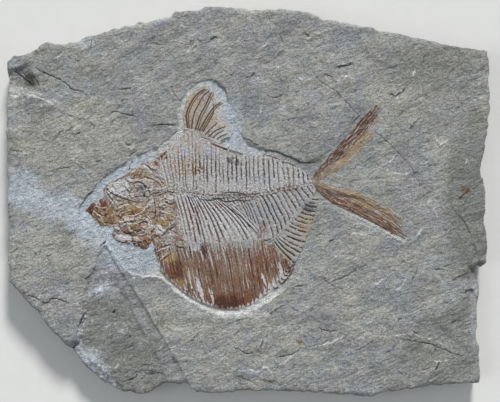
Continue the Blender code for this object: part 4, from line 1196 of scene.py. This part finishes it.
def bed_height(stone, points):
    """The bed's height, and just over the stone's where the stone rises under the tail."""
    height = np.full(len(points), float(BED))
    rise = stone.rise(points)
    near = np.nonzero(rise > 0)[0]
    if len(near):
        ground = stone.height(points[near], depth_in(points[near], stone.hollow)) + 0.14 * MM
        height[near] += np.maximum(0, ground - BED) * ramp(rise[near], 0, 0.4 * MM)
    return height


def make_bone(node, slot, stone, materials, patches):
    """One closed solid for each patch, joined in one object that stands for the CAD node."""
    vertices, faces = [], []
    masks = {mask: [] for mask in BONE_MASKS}
    first = 0
    for patch in patches:
        ring = patch.points[patch.ring]
        base = bed_height(stone, patch.points)
        top = np.column_stack([patch.points, base + np.maximum(patch.lift, -0.6 * MM)])
        under = np.column_stack([ring, base[patch.ring] - SUNK])
        vertices += [top, under]
        up = patch.faces if signed_area(patch.points[patch.faces[0]]) > 0 else patch.faces[:, ::-1]
        upper, lower = patch.ring + first, first + len(top) + np.arange(len(ring))
        faces += (up + first).tolist()
        faces += wall_between(lower, upper) if signed_area(ring) > 0 else wall_between(upper, lower)
        faces += lower[filled(ring)[1][:, ::-1]].tolist()
        for mask, values in patch.masks.items():
            masks[mask] += [values, values[patch.ring]]
        first += len(top) + len(under)
    joined = {mask: np.concatenate(values) for mask, values in masks.items()}
    made = mesh_object(f"fossil_{node}", np.vstack(vertices), faces, joined, materials[slot])
    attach(made, "root")
    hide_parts(node)


def make_back_spines(stone, materials):
    """Thin upright spines, brown between pale flecked crusts, finer and rustier towards the head."""
    rng = np.random.default_rng(21)
    sheet = Sheet(BACK_ENDS)
    sheet.mark_rays((1.8 * MM, 1.9 * MM, 2.3 * MM, 2.5 * MM, 2.5 * MM), rng, wander=0.14)
    patchy = 2 * MM * sheet.noise(4 * MM, 2.5, 2, 23.0)
    uneven = sheet.points + np.stack([0 * patchy, patchy], axis=-1)
    toward_tail = by_column(sheet.points, 236, 262)
    band = np.maximum(by_row(uneven, 186, 176) * (1 - by_row(uneven, 162, 153)), 0.75 * toward_tail)
    band *= by_column(sheet.points, 165, 215)
    lines = sheet.lines(rng, 0.30 * MM, 0.65, (-0.2, 0.28), (0.70, 1.1)) * (0.45 + 0.55 * band)
    grit, streaks = sheet.grit(0.9 * MM, 3, 21.0), sheet.noise(0.9 * MM, 7, 3, 24.0)
    tones, warm_end = sheet.tones(rng), 1 - 0.8 * ramp(sheet.across, 12 * MM, 30 * MM)
    foot = ramp(sheet.down, 0.78, 0.95)
    patch = sheet.patch(
        0.30 + 0.20 * sheet.crests(0.8) - 0.42 * lines + 0.10 * grit,
        dark=1.00 * lines + (0.30 + 0.5 * foot) * ramp(-grit, 0.45 - 0.4 * foot, 0.9),
        rust=(1.1 - toward_tail) * lines * ramp(tones, 0.0, 0.5)
        + 0.35 * ramp(streaks, 0.2, 0.8) * warm_end
        + 0.25 * foot,
        chalk=0.90 * ramp(grit + 0.4 * sheet.crests(0.9), 0.1, 0.8),
        slate=0.25 * ramp(-streaks, 0.0, 0.7) * (1 - warm_end),
        ochre=0.40 * ramp(-streaks, 0.1, 0.8) * warm_end,
    )
    draw_on(patch, ramp(streaks, -0.6, 0.5).ravel())
    frayed(patch, stone, 0.5 * MM, 2.0)
    make_bone("back_spines", "pale_bone", stone, materials, [patch])


def make_ribs(stone, materials):
    """Long ribs that curve down to the belly, and shorter spines behind them that lean back."""
    rng = np.random.default_rng(31)
    sheet = Sheet(RIB_ENDS, bow=(0.01, 0.04, 0.06, 0.07, 0.07))
    sheet.mark_rays((2.1 * MM, 2.3 * MM, 2.2 * MM), rng, wander=0.10, slack=0.25)
    lines = sheet.lines(rng, 0.40 * MM, 0.4, (-0.4, 0.06), (0.55, 1.2))
    thin = sheet.lines(rng, 0.20 * MM, 0.3)
    grit, streaks = sheet.grit(0.9 * MM, 3, 31.0), sheet.noise(0.8 * MM, 8, 3, 32.0)
    tones = sheet.tones(rng)
    low = ramp(sheet.down, 0.62, 0.95)
    dark = np.maximum(0.9 * lines, 0.55 * thin) * (1 - 0.4 * low)
    ribs = sheet.patch(
        (0.30 + 0.32 * sheet.crests(0.9) - 0.45 * dark + 0.10 * grit) * (1 - 0.45 * low),
        dark=0.66 * dark + 0.25 * ramp(-grit, 0.45, 0.9),
        rust=0.65 * lines
        + 0.30 * ramp(streaks, 0.1, 0.8) * (0.5 + 0.5 * tones)
        + 0.70 * low * ramp(streaks, -0.5, 0.4),
        chalk=0.90 * ramp(grit + 0.6 * sheet.crests(0.9), 0.0, 0.8) * (1 - 0.4 * low) * (1 - 0.8 * lines),
        slate=0.30 * ramp(-streaks, 0.1, 0.8),
    )
    draw_on(ribs)

    sheet = Sheet(HAEMAL_ENDS, bow=(0.0, 0.04, 0.05, 0.05, 0.02))
    sheet.mark_rays((2.4 * MM, 2.4 * MM, 2.2 * MM), rng, wander=0.14, slack=0.22)
    lines = sheet.lines(rng, 0.28 * MM, 0.55, (-0.4, 0.12), (0.65, 1.4))
    grit, streaks = sheet.grit(0.9 * MM, 3, 33.0), sheet.noise(1.1 * MM, 5, 3, 34.0)
    spines = sheet.patch(
        0.24 + 0.16 * sheet.crests(0.8) - 0.40 * lines + 0.12 * grit,
        dark=1.1 * lines + 0.55 * ramp(-grit, 0.25, 0.8),
        rust=0.2 * lines + 0.25 * ramp(streaks, 0.4, 0.9),
        chalk=0.60 * ramp(grit, 0.0, 0.7),
        slate=0.45 * ramp(-streaks, -0.3, 0.5),
    )
    draw_on(spines)
    frayed(spines, stone, 0.4 * MM, 7.0)
    make_bone("ribs", "pale_bone", stone, materials, [spines, ribs])


def make_belly(stone, materials):
    """The deep keel: streaky brown rays with thin pale ridges, broken through to white stone in places."""
    rng = np.random.default_rng(41)
    sheet = Sheet(BELLY_ENDS, bow=(0.0, 0.02, 0.02, 0.0, -0.03))
    sheet.mark_rays((2.0 * MM, 2.2 * MM, 2.3 * MM, 2.0 * MM), rng, wander=0.10, slack=0.3)
    lines = sheet.lines(rng, 0.26 * MM, 0.2, (-0.2, 0.4), (0.5, 1.4))
    grit, streaks = sheet.grit(0.8 * MM, 3, 51.0), sheet.noise(0.7 * MM, 3, 3, 52.0)
    broad, tones = sheet.noise(2.6 * MM, 2.5, 2, 53.0), sheet.tones(rng)
    upper = 1 - ramp(sheet.down + 0.12 * broad, 0.02, 0.42)
    length = np.hypot(*(sheet.points[-1] - sheet.points[0]).T)
    to_foot = (1 - sheet.down) * length
    spike = (2.2 + 3.4 * ramp(sheet.across / sheet.across.max(), 0.66, 0.86)) * MM
    cut = ramp(2 * np.abs(sheet.share - 0.5) - to_foot / spike + 0.3 * grit, -0.25, 0.1)
    ridge = sheet.crests(0.20) * ramp(ripples(sheet.down * 3, sheet.ray * 3.7, 8.0), -0.5, 0.3)
    thin = (1 - ramp(np.abs(sheet.noise(1.3 * MM, 0.9, 2, 54.0)), 0.02, 0.09)) * ramp(broad, -0.6, 0.0)
    warm = 0.15 + 0.30 * broad + 0.40 * (tones - 0.5) + 0.55 * streaks
    started = ramp(sheet.down + 0.13 * streaks + 0.05 * broad, -0.02, 0.12)
    flat = 1 - 0.6 * ramp(sheet.down, 0.92, 1.0)
    height = 0.40 + 0.22 * ridge + 0.10 * sheet.crests(0.9) + 0.12 * thin
    height = height - 0.25 * lines + 0.10 * grit - 0.30 * cut
    crust = 0.42 * ridge + 0.65 * thin + 0.15 * ramp(grit, 0.3, 0.9)
    crust = crust + 0.38 * upper * ramp(grit + 0.5 * sheet.crests(0.9), 0.0, 1.0)
    patch = sheet.patch(
        height * flat,
        rust=np.clip((warm + 0.10) * (1 - 0.25 * upper), 0, 1.2) * (1 - cut) * started,
        ochre=0.50 * ramp(-streaks + 0.4 * broad, 0.15, 0.8) * (1 - 0.6 * upper) * (1 - cut) * started,
        chalk=np.maximum(1.3 * cut, crust),
        dark=(0.80 * lines + 0.55 * ramp(-streaks - 0.3 * grit, 0.15, 0.8) * (1 - 0.4 * upper)) * (1 - cut),
        slate=0.35 * upper * ramp(-streaks, 0.0, 0.7),
        bare=0.7 * (1 - started),
    )
    draw_on(patch)
    for start, end, half_width in BELLY_GAPS:
        line = resampled(place((start, end)), spacing=0.5 * MM)
        gap, along, _ = near_line(patch.points, line)
        ragged = 0.7 * half_width * MM * (1 + 0.6 * grain(patch.points, 1.4 * MM, 3, half_width))
        ragged *= 1 - 0.7 * ramp(streaks, 0.1, 0.5).ravel()
        gone = ramp(1.2 - gap / (ragged * (0.35 + 2.4 * along * (1 - along))), 0, 0.4)
        patch.masks["chalk"] = np.maximum(patch.masks["chalk"], 1.4 * gone)
        for mask in ("rust", "ochre", "dark"):
            patch.masks[mask] *= 1 - gone
        patch.lift *= 1 - 0.8 * gone
    frayed(patch, stone, 0.4 * MM, 11.0)
    hooks = [rod(line, 0.40, 0.50, 0.7, {"dark": 0.6, "rust": 0.9}) for line in BELLY_HOOKS]
    edge = rod(BELLY_EDGE, 0.18, 0.28, 0.3, {"rust": 0.7, "chalk": 0.3})
    make_bone("belly_keel", "brown_bone", stone, materials, [patch, edge, *hooks])


def make_anal_fin(stone, materials):
    """Short curved rays, dark and thin, on pale matrix."""
    rng = np.random.default_rng(61)
    sheet = Sheet(ANAL_FIN_ENDS, bow=(-0.04, -0.05, -0.08, -0.10))
    sheet.mark_rays((1.8 * MM, 2.2 * MM, 2.1 * MM), rng, wander=0.10)
    lines = sheet.lines(rng, 0.32 * MM, 0.6, (-0.3, 0.25), (0.8, 1.4))
    grit, streaks = sheet.grit(0.9 * MM, 3, 62.0), sheet.noise(1.0 * MM, 4, 3, 63.0)
    patch = sheet.patch(
        0.22 + 0.12 * sheet.crests(0.8) - 0.34 * lines + 0.10 * grit,
        bare=0.45 + 0.3 * streaks,
        dark=1.25 * lines + 0.35 * ramp(-grit, 0.3, 0.9),
        rust=0.45 * lines + 0.35 * ramp(streaks, 0.1, 0.8),
        chalk=0.20 * ramp(grit, 0.2, 0.8),
        ochre=0.20 + 0.40 * ramp(-streaks, 0.0, 0.7),
    )
    draw_on(patch)
    frayed(patch, stone, 0.5 * MM, 12.0)
    make_bone("anal_fin", "pale_bone", stone, materials, [patch])


def make_dorsal_fin(stone, materials):
    """Long curved rays fanning from a bar of base bones, on a film of pale matrix."""
    count = 150
    front, rear = (through(place(line), count) for line in (FIN_MEMBRANE_FRONT, FIN_MEMBRANE_REAR))
    v = np.linspace(0, 1, 130)[:, None, None]
    points = front * (1 - v) + rear * v
    grit, clouds = grain(points, 0.9 * MM, 3, 71.0), grain(points, 5 * MM, 2, 72.0)
    plain = ramp(v[..., 0] + 0.2 * clouds, 0.55, 0.8)
    film = grid_patch(points, (0.14 + 0.09 * grit) * MM, {
        "bare": 0.35 + 0.3 * clouds,
        "ochre": 0.35 * (1 - plain) * ramp(clouds, -0.6, 0.4),
        "dark": 0.45 * ramp(-grit, 0.4, 1.0),
        "chalk": 0.35 + 0.35 * grit + 0.4 * plain,
        "slate": 0.35 * plain,
    })
    draw_on(film)
    frayed(film, stone, 0.6 * MM, 14.0)
    rays = []
    for *line, half in DORSAL_RAYS:
        rays.append(rod(line, half, 0.50, 0.35, {"rust": 0.75, "dark": 0.45, "ochre": 0.3}))
        if half > 0.45:  # a long ray is split lengthwise
            split = [(column + 2.1, row + 0.6) for column, row in line]
            rays.append(rod(split, 0.7 * half, 0.42, 0.35, {"rust": 0.65, "dark": 0.30, "ochre": 0.4}))
    bars = [rod(points, half, 0.52, 0.35, {"chalk": 0.45, "rust": 0.25}) for points, half in FIN_BASE_BARS]
    make_bone("dorsal_fin", "fin_bone", stone, materials, [film, *rays, *bars])


def tail_lobe(front, rear, seed, shadow):
    """Fine rays from the tail's root to the lobe's tip: dark red along the leading edge, then ochre."""
    columns, rows = 230, 80
    fronts, rears = (through(place(line), columns) for line in (front, rear))
    back = np.linspace(0, 1, rows)[:, None] * np.ones(columns)
    out = np.linspace(0, 1, columns) * np.ones((rows, 1))
    points = fronts * (1 - back[..., None]) + rears * back[..., None]
    streaks, fine = fractal(out * 4, back * 8, 3, seed), fractal(out * 14, back * 26, 3, seed + 3)
    blotch, grit = grain(points, 5 * MM, 3, seed + 4), grain(points, 0.9 * MM, 2, seed + 5)
    leading = 1 - ramp(back + 0.22 * streaks, 0.30, 0.72)
    root = 1 - ramp(out, 0.04, 0.16)
    ray_end = 0.99 - 0.22 * back**2 + 0.10 * fractal(back * 16, 0 * back, 2, seed + 6)
    gone = np.maximum(ramp(out - ray_end, -0.05, 0.05), ramp(back + 0.12 * fine, 0.86, 1.0))
    faded = ramp(back + 0.30 * fine + 0.20 * blotch + 0.20 * ramp(out, 0.7, 1.0), 0.66, 1.12)
    lift = (0.22 - 0.18 * back) * ramp(back, -0.02, 0.10) + 0.14 * fine + 0.08 * streaks + 0.08 * grit
    red = np.clip(0.55 * leading + 0.30 * streaks + 0.20 * grit, 0, 0.9)
    yellow = np.clip(0.85 - leading + 0.30 * streaks + 0.2 * blotch, 0, 0.75)
    return grid_patch(points, (lift * (1 - gone) - 0.55 * gone) * MM, {
        "rust": red * (1 - 0.6 * root) * (1 - gone),
        "dark": (0.15 + shadow * leading) * ramp(-fine - 0.3 * grit, -0.25, 0.4) * (1 - gone),
        "ochre": yellow * (1 - root) * (1 - 0.6 * faded),
        "chalk": 0.6 * root + 0.60 * ramp(fine + 0.4 * grit, 0.1, 0.7) * (1 - 0.5 * gone),
        "bare": np.maximum(1.2 * gone, faded),
    })


def make_tail(stone, materials):
    """Both lobes of the forked tail, the upper one darker."""
    for side, front, rear, seed, shadow in (
        ("upper", TAIL_UPPER_FRONT, TAIL_UPPER_REAR, 3.0, 0.95),
        ("lower", TAIL_LOWER_FRONT, TAIL_LOWER_REAR, 9.0, 0.55),
    ):
        lobe = frayed(tail_lobe(front, rear, seed, shadow), stone, 0.3 * MM, seed + 8)
        make_bone(f"{side}_tail_lobe", "fin_bone", stone, materials, [lobe])


def make_backbone(stone, materials):
    """Vertebrae like short spools, each with a waist, thinner towards the tail."""
    columns, rows, bones = 620, 26, 29
    line = smooth(place(BACKBONE_LINE), count=columns)
    t = np.linspace(0, 1, columns)
    spool = np.abs(np.sin((t * bones + 0.25 * ripples(t * 9, 0.0, 5.0)) * math.pi)) ** 0.6
    wide = 3.4 * GRID * (1 - 0.45 * t) * (1.10 - 0.30 * spool) * (1 + 0.18 * ripples(t * 60, 0.0, 6.0))
    across = np.linspace(-1, 1, rows)
    points = np.stack([beside(line, (wide * k)[:, None]) for k in across], axis=0)
    grit, beads = grain(points, 0.8 * MM, 3, 81.0), grain(points, 1.5 * MM, 2, 83.0)
    dome = np.sqrt(np.clip(1 - across**2, 0, 1))[:, None]
    edge = np.abs(across)[:, None]
    joint = (1 - spool) * np.ones_like(dome)
    patch = grid_patch(points, (0.12 + 0.42 * dome * (0.7 + 0.3 * joint) + 0.20 * beads + 0.12 * grit) * MM, {
        "dark": 0.85 * ramp(beads, -0.1, 0.4) * ramp(edge, 0.1, 0.6) + 0.6 * ramp(-grit, 0.1, 0.7),
        "chalk": 0.7 * ramp(grit + joint, 0.2, 1.0),
        "rust": 0.15 + 0.25 * ramp(-beads, 0.0, 0.5),
    })
    draw_on(patch)
    make_bone("backbone", "pale_bone", stone, materials, [patch])


MOST_SHARDS = 2000  # more than any plate has


def shards(points, size, rng):
    """Breaks the plane into shards: each point's shard, its middle, and a number that is 0 at its border."""
    warp = 0.28 * size * np.stack([grain(points, 0.9 * size, 2, seed) for seed in (5.0, 6.0)], axis=1)
    middles = scattered(points.min(0) - size, points.max(0) + size, size, rng)
    middles += rng.uniform(-0.3, 0.3, middles.shape) * size
    away = np.hypot(*(points[:, None] + warp[:, None] - middles[None]).transpose(2, 0, 1))
    nearest = away.argmin(axis=1)
    closest = np.partition(away, 1, axis=1)
    return nearest, middles[nearest], (closest[:, 1] - closest[:, 0]) / size


def crushed(outline, seed, stone, size=2.2, crown=0.40, rust=0.3, fray=0.35, lean=0.0):
    """A crushed plate of the head: tilted, granular shards in their own tones, under the drawn lines."""
    rng = np.random.default_rng(seed)
    patch = outlined_patch(outline, rng)
    points = patch.points
    edge = depth_in(points, points[patch.ring])
    shard, middle, border = shards(points, size * MM, rng)
    tilt = rng.normal(0, 0.13, (2, MOST_SHARDS))
    level, tone = rng.uniform(-0.12, 0.14, MOST_SHARDS), rng.uniform(0, 1, MOST_SHARDS)
    slope = np.sum((points - middle) * tilt[:, shard].T, axis=1) / MM
    grit = grain(points, 0.9 * MM, 3, seed)
    creases = 1 - 4 * np.abs(grain(points, 2.4 * MM, 3, seed + 2, 2.2, lean))
    creases = np.clip(creases, 0, 1) ** 2
    open_border = (1 - ramp(border, 0.02, 0.16)) * ramp(grain(points, 3 * MM, 2, seed + 3), -0.35, 0.25)
    tone = tone[shard]
    rising = 0.30 * ramp(edge, 0, 0.9 * MM) + crown * ramp(edge, 0, 2.8 * MM)
    patch.lift = (rising - 0.10 + slope + level[shard] + 0.12 * grit + 0.20 * creases) * MM
    patch.lift -= 0.30 * MM * open_border
    clouds = grain(points, 4.5 * MM, 2, seed + 4)
    patch.masks["rust"] += rust + 0.30 * clouds + 0.20 * ramp(tone, 0.55, 0.75) * (1 - ramp(tone, 0.88, 0.92))
    patch.masks["ochre"] += 0.32 - 0.25 * clouds + 0.30 * ramp(tone, 0.86, 0.93)
    patch.masks["chalk"] += 0.25 * (1 - ramp(tone, 0.1, 0.3)) + 0.75 * creases + 0.30 * ramp(grit, 0.2, 0.8)
    patch.masks["dark"] += 0.65 * open_border + 0.40 * ramp(-grit, 0.35, 0.9)
    draw_on(patch)
    return frayed(patch, stone, fray * MM, seed)


def make_head(stone, materials):
    """The crushed head and shoulder, with the ring of the eye left standing."""
    skull = crushed(SKULL, 101, stone, size=2.6, rust=0.16, lean=25)
    out = np.hypot(*(skull.points - place(EYE_MIDDLE)).T) / (6 * GRID)
    ring = 1 - ramp(np.abs(out - 0.92), 0.06, 0.22)
    skull.lift += (0.16 * ring - 0.30 * (1 - ramp(out, 0.45, 0.8))) * MM
    plates = (
        ("skull", "pale_bone", [skull, crushed(NAPE, 106, stone, size=1.6, crown=0.15, rust=0.3, lean=-60)]),
        ("jaws", "brown_bone", [crushed(JAWS, 102, stone, size=3.2, rust=0.55, lean=-50)]),
        ("gill_cover", "pale_bone", [crushed(GILL_COVER, 103, stone, size=3.4, crown=0.5, lean=15)]),
        ("throat_bone", "brown_bone", [crushed(THROAT_BONE, 104, stone, size=3.4, rust=0.12, lean=5)]),
        ("shoulder_bones", "pale_bone", [crushed(SHOULDER, 105, stone, size=3.0, crown=0.25, lean=-65)]),
    )
    for node, slot, patches in plates:
        make_bone(node, slot, stone, materials, patches)


# ---------------------------------------------------------------- materials


def srgb(code):
    """A six-digit sRGB hex colour as linear RGBA."""
    parts = [int(code[i : i + 2], 16) / 255 for i in (0, 2, 4)]
    return (*(p / 12.92 if p <= 0.04045 else ((p + 0.055) / 1.055) ** 2.4 for p in parts), 1.0)


def add(tree, kind, inputs=None, output=0, **settings):
    """Adds a node with its settings, gives each input a value or a link, and returns one of its outputs."""
    made = tree.nodes.new("ShaderNode" + kind)
    for name, value in settings.items():
        setattr(made, name, value)
    for name, value in (inputs or {}).items():
        if isinstance(value, bpy.types.NodeSocket):
            tree.links.new(value, made.inputs[name])
        else:
            made.inputs[name].default_value = value
    return made.outputs[output]


def pattern(tree, place_in, wavelength, detail=3.0, roughness=0.6, distortion=0.0):
    """Noise with a wavelength in millimetres."""
    settings = {"Detail": detail, "Roughness": roughness, "Distortion": distortion}
    return add(tree, "TexNoise", {"Vector": place_in, "Scale": 1 / (wavelength * MM), **settings})


def mapped(tree, value, start, end, low=0.0, high=1.0, kind="SMOOTHSTEP"):
    """Value's span from start to end, mapped to low to high."""
    limits = {"Value": value, "From Min": start, "From Max": end, "To Min": low, "To Max": high}
    return add(tree, "MapRange", limits, interpolation_type=kind)


def stepped(tree, value, steps):
    """Value's span from 0.2 to 0.8, cut into level steps."""
    cut = mapped(tree, value, 0.2, 0.8, kind="STEPPED")
    cut.node.inputs["Steps"].default_value = float(steps)
    return cut


def math_node(tree, operation, *values):
    return add(tree, "Math", dict(enumerate(values)), operation=operation)


def blended(tree, factor, below, above):
    return add(tree, "Mix", {"Factor": factor, 6: below, 7: above}, output=2, data_type="RGBA")


def masked(tree, below, mask, code, blotch, low, high, strength=1.0):
    """Lays a colour over below where the mask, made ragged by the blotch noise, is high."""
    share = add(tree, "Attribute", output="Fac", attribute_name=mask, attribute_type="GEOMETRY")
    present = add(tree, "Math", {0: share, 1: 5.0}, operation="MULTIPLY", use_clamp=True)
    ragged = math_node(tree, "MULTIPLY", math_node(tree, "MULTIPLY_ADD", blotch, 0.6, share), present)
    return blended(tree, mapped(tree, ragged, low, high, 0.0, strength), below, srgb(code))


def layered(tree, below, blotch, layers):
    """Lays colours over below: each has its mask, code, low and high, and may have a strength."""
    for mask, code, *limits in layers:
        below = masked(tree, below, mask, code, blotch, *limits)
    return below


def finished(tree, shader, colour, shades, bumps):
    """Multiplies a colour by its shades, and stacks bumps of (height, strength, distance in mm)."""
    shade = shades[0]
    for other in shades[1:]:
        shade = math_node(tree, "MULTIPLY", shade, other)
    toned = add(tree, "VectorMath", {0: colour, "Scale": shade}, operation="SCALE")
    tree.links.new(toned, shader.inputs["Base Color"])
    normal = None
    for height, strength, distance in bumps:
        inputs = {"Strength": strength, "Distance": distance * MM, "Height": height}
        normal = add(tree, "Bump", {**inputs, **({"Normal": normal} if normal else {})})
    tree.links.new(normal, shader.inputs["Normal"])


def new_material(name, roughness, specular):
    """An empty material with its shader linked to the output, and the place of each point in the object."""
    material = bpy.data.materials.new(name)
    material.use_nodes = True
    tree = material.node_tree
    tree.nodes.clear()
    inputs = {"Roughness": roughness, "IOR": 1.5, "Specular IOR Level": specular}
    shader = add(tree, "BsdfPrincipled", inputs).node
    add_output = tree.nodes.new("ShaderNodeOutputMaterial")
    tree.links.new(shader.outputs["BSDF"], add_output.inputs["Surface"])
    return material, tree, shader, add(tree, "TexCoord", output="Object")


def limestone():
    """Fine-grained limestone, split along its bedding: matt, chalky, with grey-green and buff cloudings.

    The eye gets a dull stone with a leaning, scaly grain, blue-white dust round the fish, and dark cracks.
    """
    material, tree, shader, place_in = new_material("split limestone", 0.92, 0.25)
    bedding = {"Vector": place_in, "Rotation": (0, 0, math.radians(27)), "Scale": (1.7, 1.0, 1.0)}
    leaning = add(tree, "Mapping", bedding, vector_type="TEXTURE")
    clouds, blotch = pattern(tree, place_in, 20), pattern(tree, place_in, 1.7, 4.0, 0.65)
    grit, specks = pattern(tree, leaning, 1.0, 3.0, 0.7), pattern(tree, place_in, 0.55, 2.0)
    tints, scales = pattern(tree, place_in, 8.0, 5.0, 0.62), pattern(tree, leaning, 2.6, 5.0, 0.66, 0.1)
    tones = pattern(tree, leaning, 9.0, 5.0, 0.66)
    flakes = stepped(tree, pattern(tree, leaning, 12.0, 7.0, 0.60), 12)
    colour = blended(tree, mapped(tree, clouds, 0.36, 0.64), srgb("97999a"), srgb("a6a6a0"))
    colour = blended(tree, mapped(tree, tints, 0.50, 0.68, 0.0, 0.65), colour, srgb("a5a39b"))
    colour = blended(tree, mapped(tree, tints, 0.50, 0.34, 0.0, 0.65), colour, srgb("969ba0"))
    colour = layered(tree, colour, blotch, (
        # Besides their own colours, the halo and scuff layers carry painted highlight, and the shade and dark
        # layers carry painted shade.
        ("buff", "abaaa0", 0.25, 1.25), ("lilac", "959399", 0.25, 1.2), ("shade", "878883", 0.25, 1.2),
        ("halo_and_highlight", "cdcfcc", 0.3, 1.2), ("dust", "b8c0c8", 0.3, 1.3), ("scuff_and_highlight", "cccdca", 0.5, 1.25, 0.85),
        ("rust", "7d6048", 0.5, 1.2, 0.9), ("dark", "3a3833", 0.35, 1.15, 0.85),
    ))
    finished(
        tree, shader, colour,
        (mapped(tree, grit, 0.28, 0.72, 0.76, 1.24), mapped(tree, specks, 0.3, 0.7, 0.74, 1.26),
         mapped(tree, tones, 0.32, 0.68, 0.89, 1.11)),
        ((flakes, 1.0, 5.0), (scales, 1.0, 1.9), (grit, 1.0, 1.1)),
    )
    return material


def fossil_bone(name, base, second, dark, roughness):
    """Mineralised bone: a waxy crust with white flecks and brown specks, stained red-brown and ochre."""
    material, tree, shader, place_in = new_material(name, roughness, 0.35)
    blotch, clouds = pattern(tree, place_in, 1.1, 4.0, 0.65), pattern(tree, place_in, 6.0)
    specks, flecks = pattern(tree, place_in, 0.6, 2.0), pattern(tree, place_in, 0.95, 3.0, 0.65, 0.3)
    colour = blended(tree, mapped(tree, clouds, 0.35, 0.65), srgb(base), srgb(second))
    colour = layered(tree, colour, blotch, (
        ("slate", "868b95", 0.35, 1.1), ("rust", "6f4830", 0.35, 1.2),
        ("ochre", "977c50", 0.45, 1.25, 0.9), ("chalk", "c3c3c4", 0.35, 1.2, 0.85),
    ))
    colour = blended(tree, mapped(tree, flecks, 0.60, 0.72, 0.0, 0.55), colour, srgb("c8c6c6"))
    colour = blended(tree, mapped(tree, flecks, 0.42, 0.30, 0.0, 0.45), colour, srgb("4c3a31"))
    colour = layered(tree, colour, blotch, (("bare", "999b98", 0.45, 1.05), ("dark", dark, 0.35, 1.2, 0.88)))
    finished(
        tree, shader, colour, (mapped(tree, specks, 0.28, 0.72, 0.74, 1.24),),
        ((blotch, 0.7, 0.6), (specks, 0.6, 0.35)),
    )
    return material


def studio_floor():
    """Matt pale board: even, with only a trace of tooth."""
    material, tree, shader, place_in = new_material("matt pale board", 0.85, 0.2)
    tone = blended(tree, pattern(tree, place_in, 8, 2.0), srgb("d6d6d3"), srgb("dbdbd8"))
    tree.links.new(tone, shader.inputs["Base Color"])
    return material


# ---------------------------------------------------------------- the studio

IMAGE_WIDTH, IMAGE_HEIGHT = 500, 402
LENS, SENSOR = 100.0, 36.0  # mm


def make_camera():
    """Looks straight down; the picture is one grid square to a pixel at the face."""
    camera = bpy.data.cameras.new("camera")
    camera.lens, camera.sensor_width = LENS, SENSOR
    camera.clip_end = 10.0
    made = bpy.data.objects.new("camera", camera)
    middle = place((IMAGE_WIDTH / 2, IMAGE_HEIGHT / 2))
    made.location = (*middle, FACE + IMAGE_WIDTH * GRID * LENS / SENSOR)
    bpy.context.scene.collection.objects.link(made)
    bpy.context.scene.camera = made


def make_sun(name, energy, spread, colour, heading):
    """A distant light: its power, the softness of its shadows in degrees, its colour and its heading."""
    light = bpy.data.lights.new(name, "SUN")
    light.energy, light.angle, light.color = energy, math.radians(spread), colour
    made = bpy.data.objects.new(name, light)
    made.rotation_euler = Vector(heading).to_track_quat("-Z", "Y").to_euler()
    bpy.context.scene.collection.objects.link(made)


def make_lights():
    """A low key from behind the fish's back, a weak fill from its head's side, and an even grey sky."""
    make_sun("key", 3.85, 12, (1.0, 0.985, 0.972), (-0.16, -0.86, -0.50))
    make_sun("fill", 0.55, 40, (0.95, 0.975, 1.0), (0.80, 0.10, -0.75))
    world = bpy.data.worlds.new("sky")
    world.use_nodes = True
    background = world.node_tree.nodes["Background"].inputs
    background["Color"].default_value = (0.88, 0.94, 1.0, 1.0)
    background["Strength"].default_value = 0.36
    bpy.context.scene.world = world
    bpy.context.scene.view_settings.view_transform = "Standard"


def make_floor():
    """A pale board, 6 m square, just under the slab."""
    mesh = bpy.data.meshes.new("floor")
    half = 3.0
    corners = [(-half, -half, 0), (half, -half, 0), (half, half, 0), (-half, half, 0)]
    mesh.from_pydata(corners, [], [(0, 1, 2, 3)])
    mesh.materials.append(studio_floor())
    floor = bpy.data.objects.new("floor", mesh)
    floor.location.z = -0.2 * MM
    bpy.context.scene.collection.objects.link(floor)


def main():
    stone = Stone()
    make_slab(stone, limestone())
    materials = {
        "pale_bone": fossil_bone("pale fossil bone", "a5a4a5", "9b9792", "382a24", 0.72),
        "brown_bone": fossil_bone("brown fossil bone", "7f6b5d", "725e50", "431f11", 0.60),
        "fin_bone": fossil_bone("fin ray bone", "8f8377", "837668", "35231c", 0.66),
    }
    for make in (
        make_back_spines, make_ribs, make_belly, make_anal_fin,
        make_dorsal_fin, make_backbone, make_tail, make_head,
    ):
        make(stone, materials)
    make_floor()
    make_lights()
    make_camera()


main()
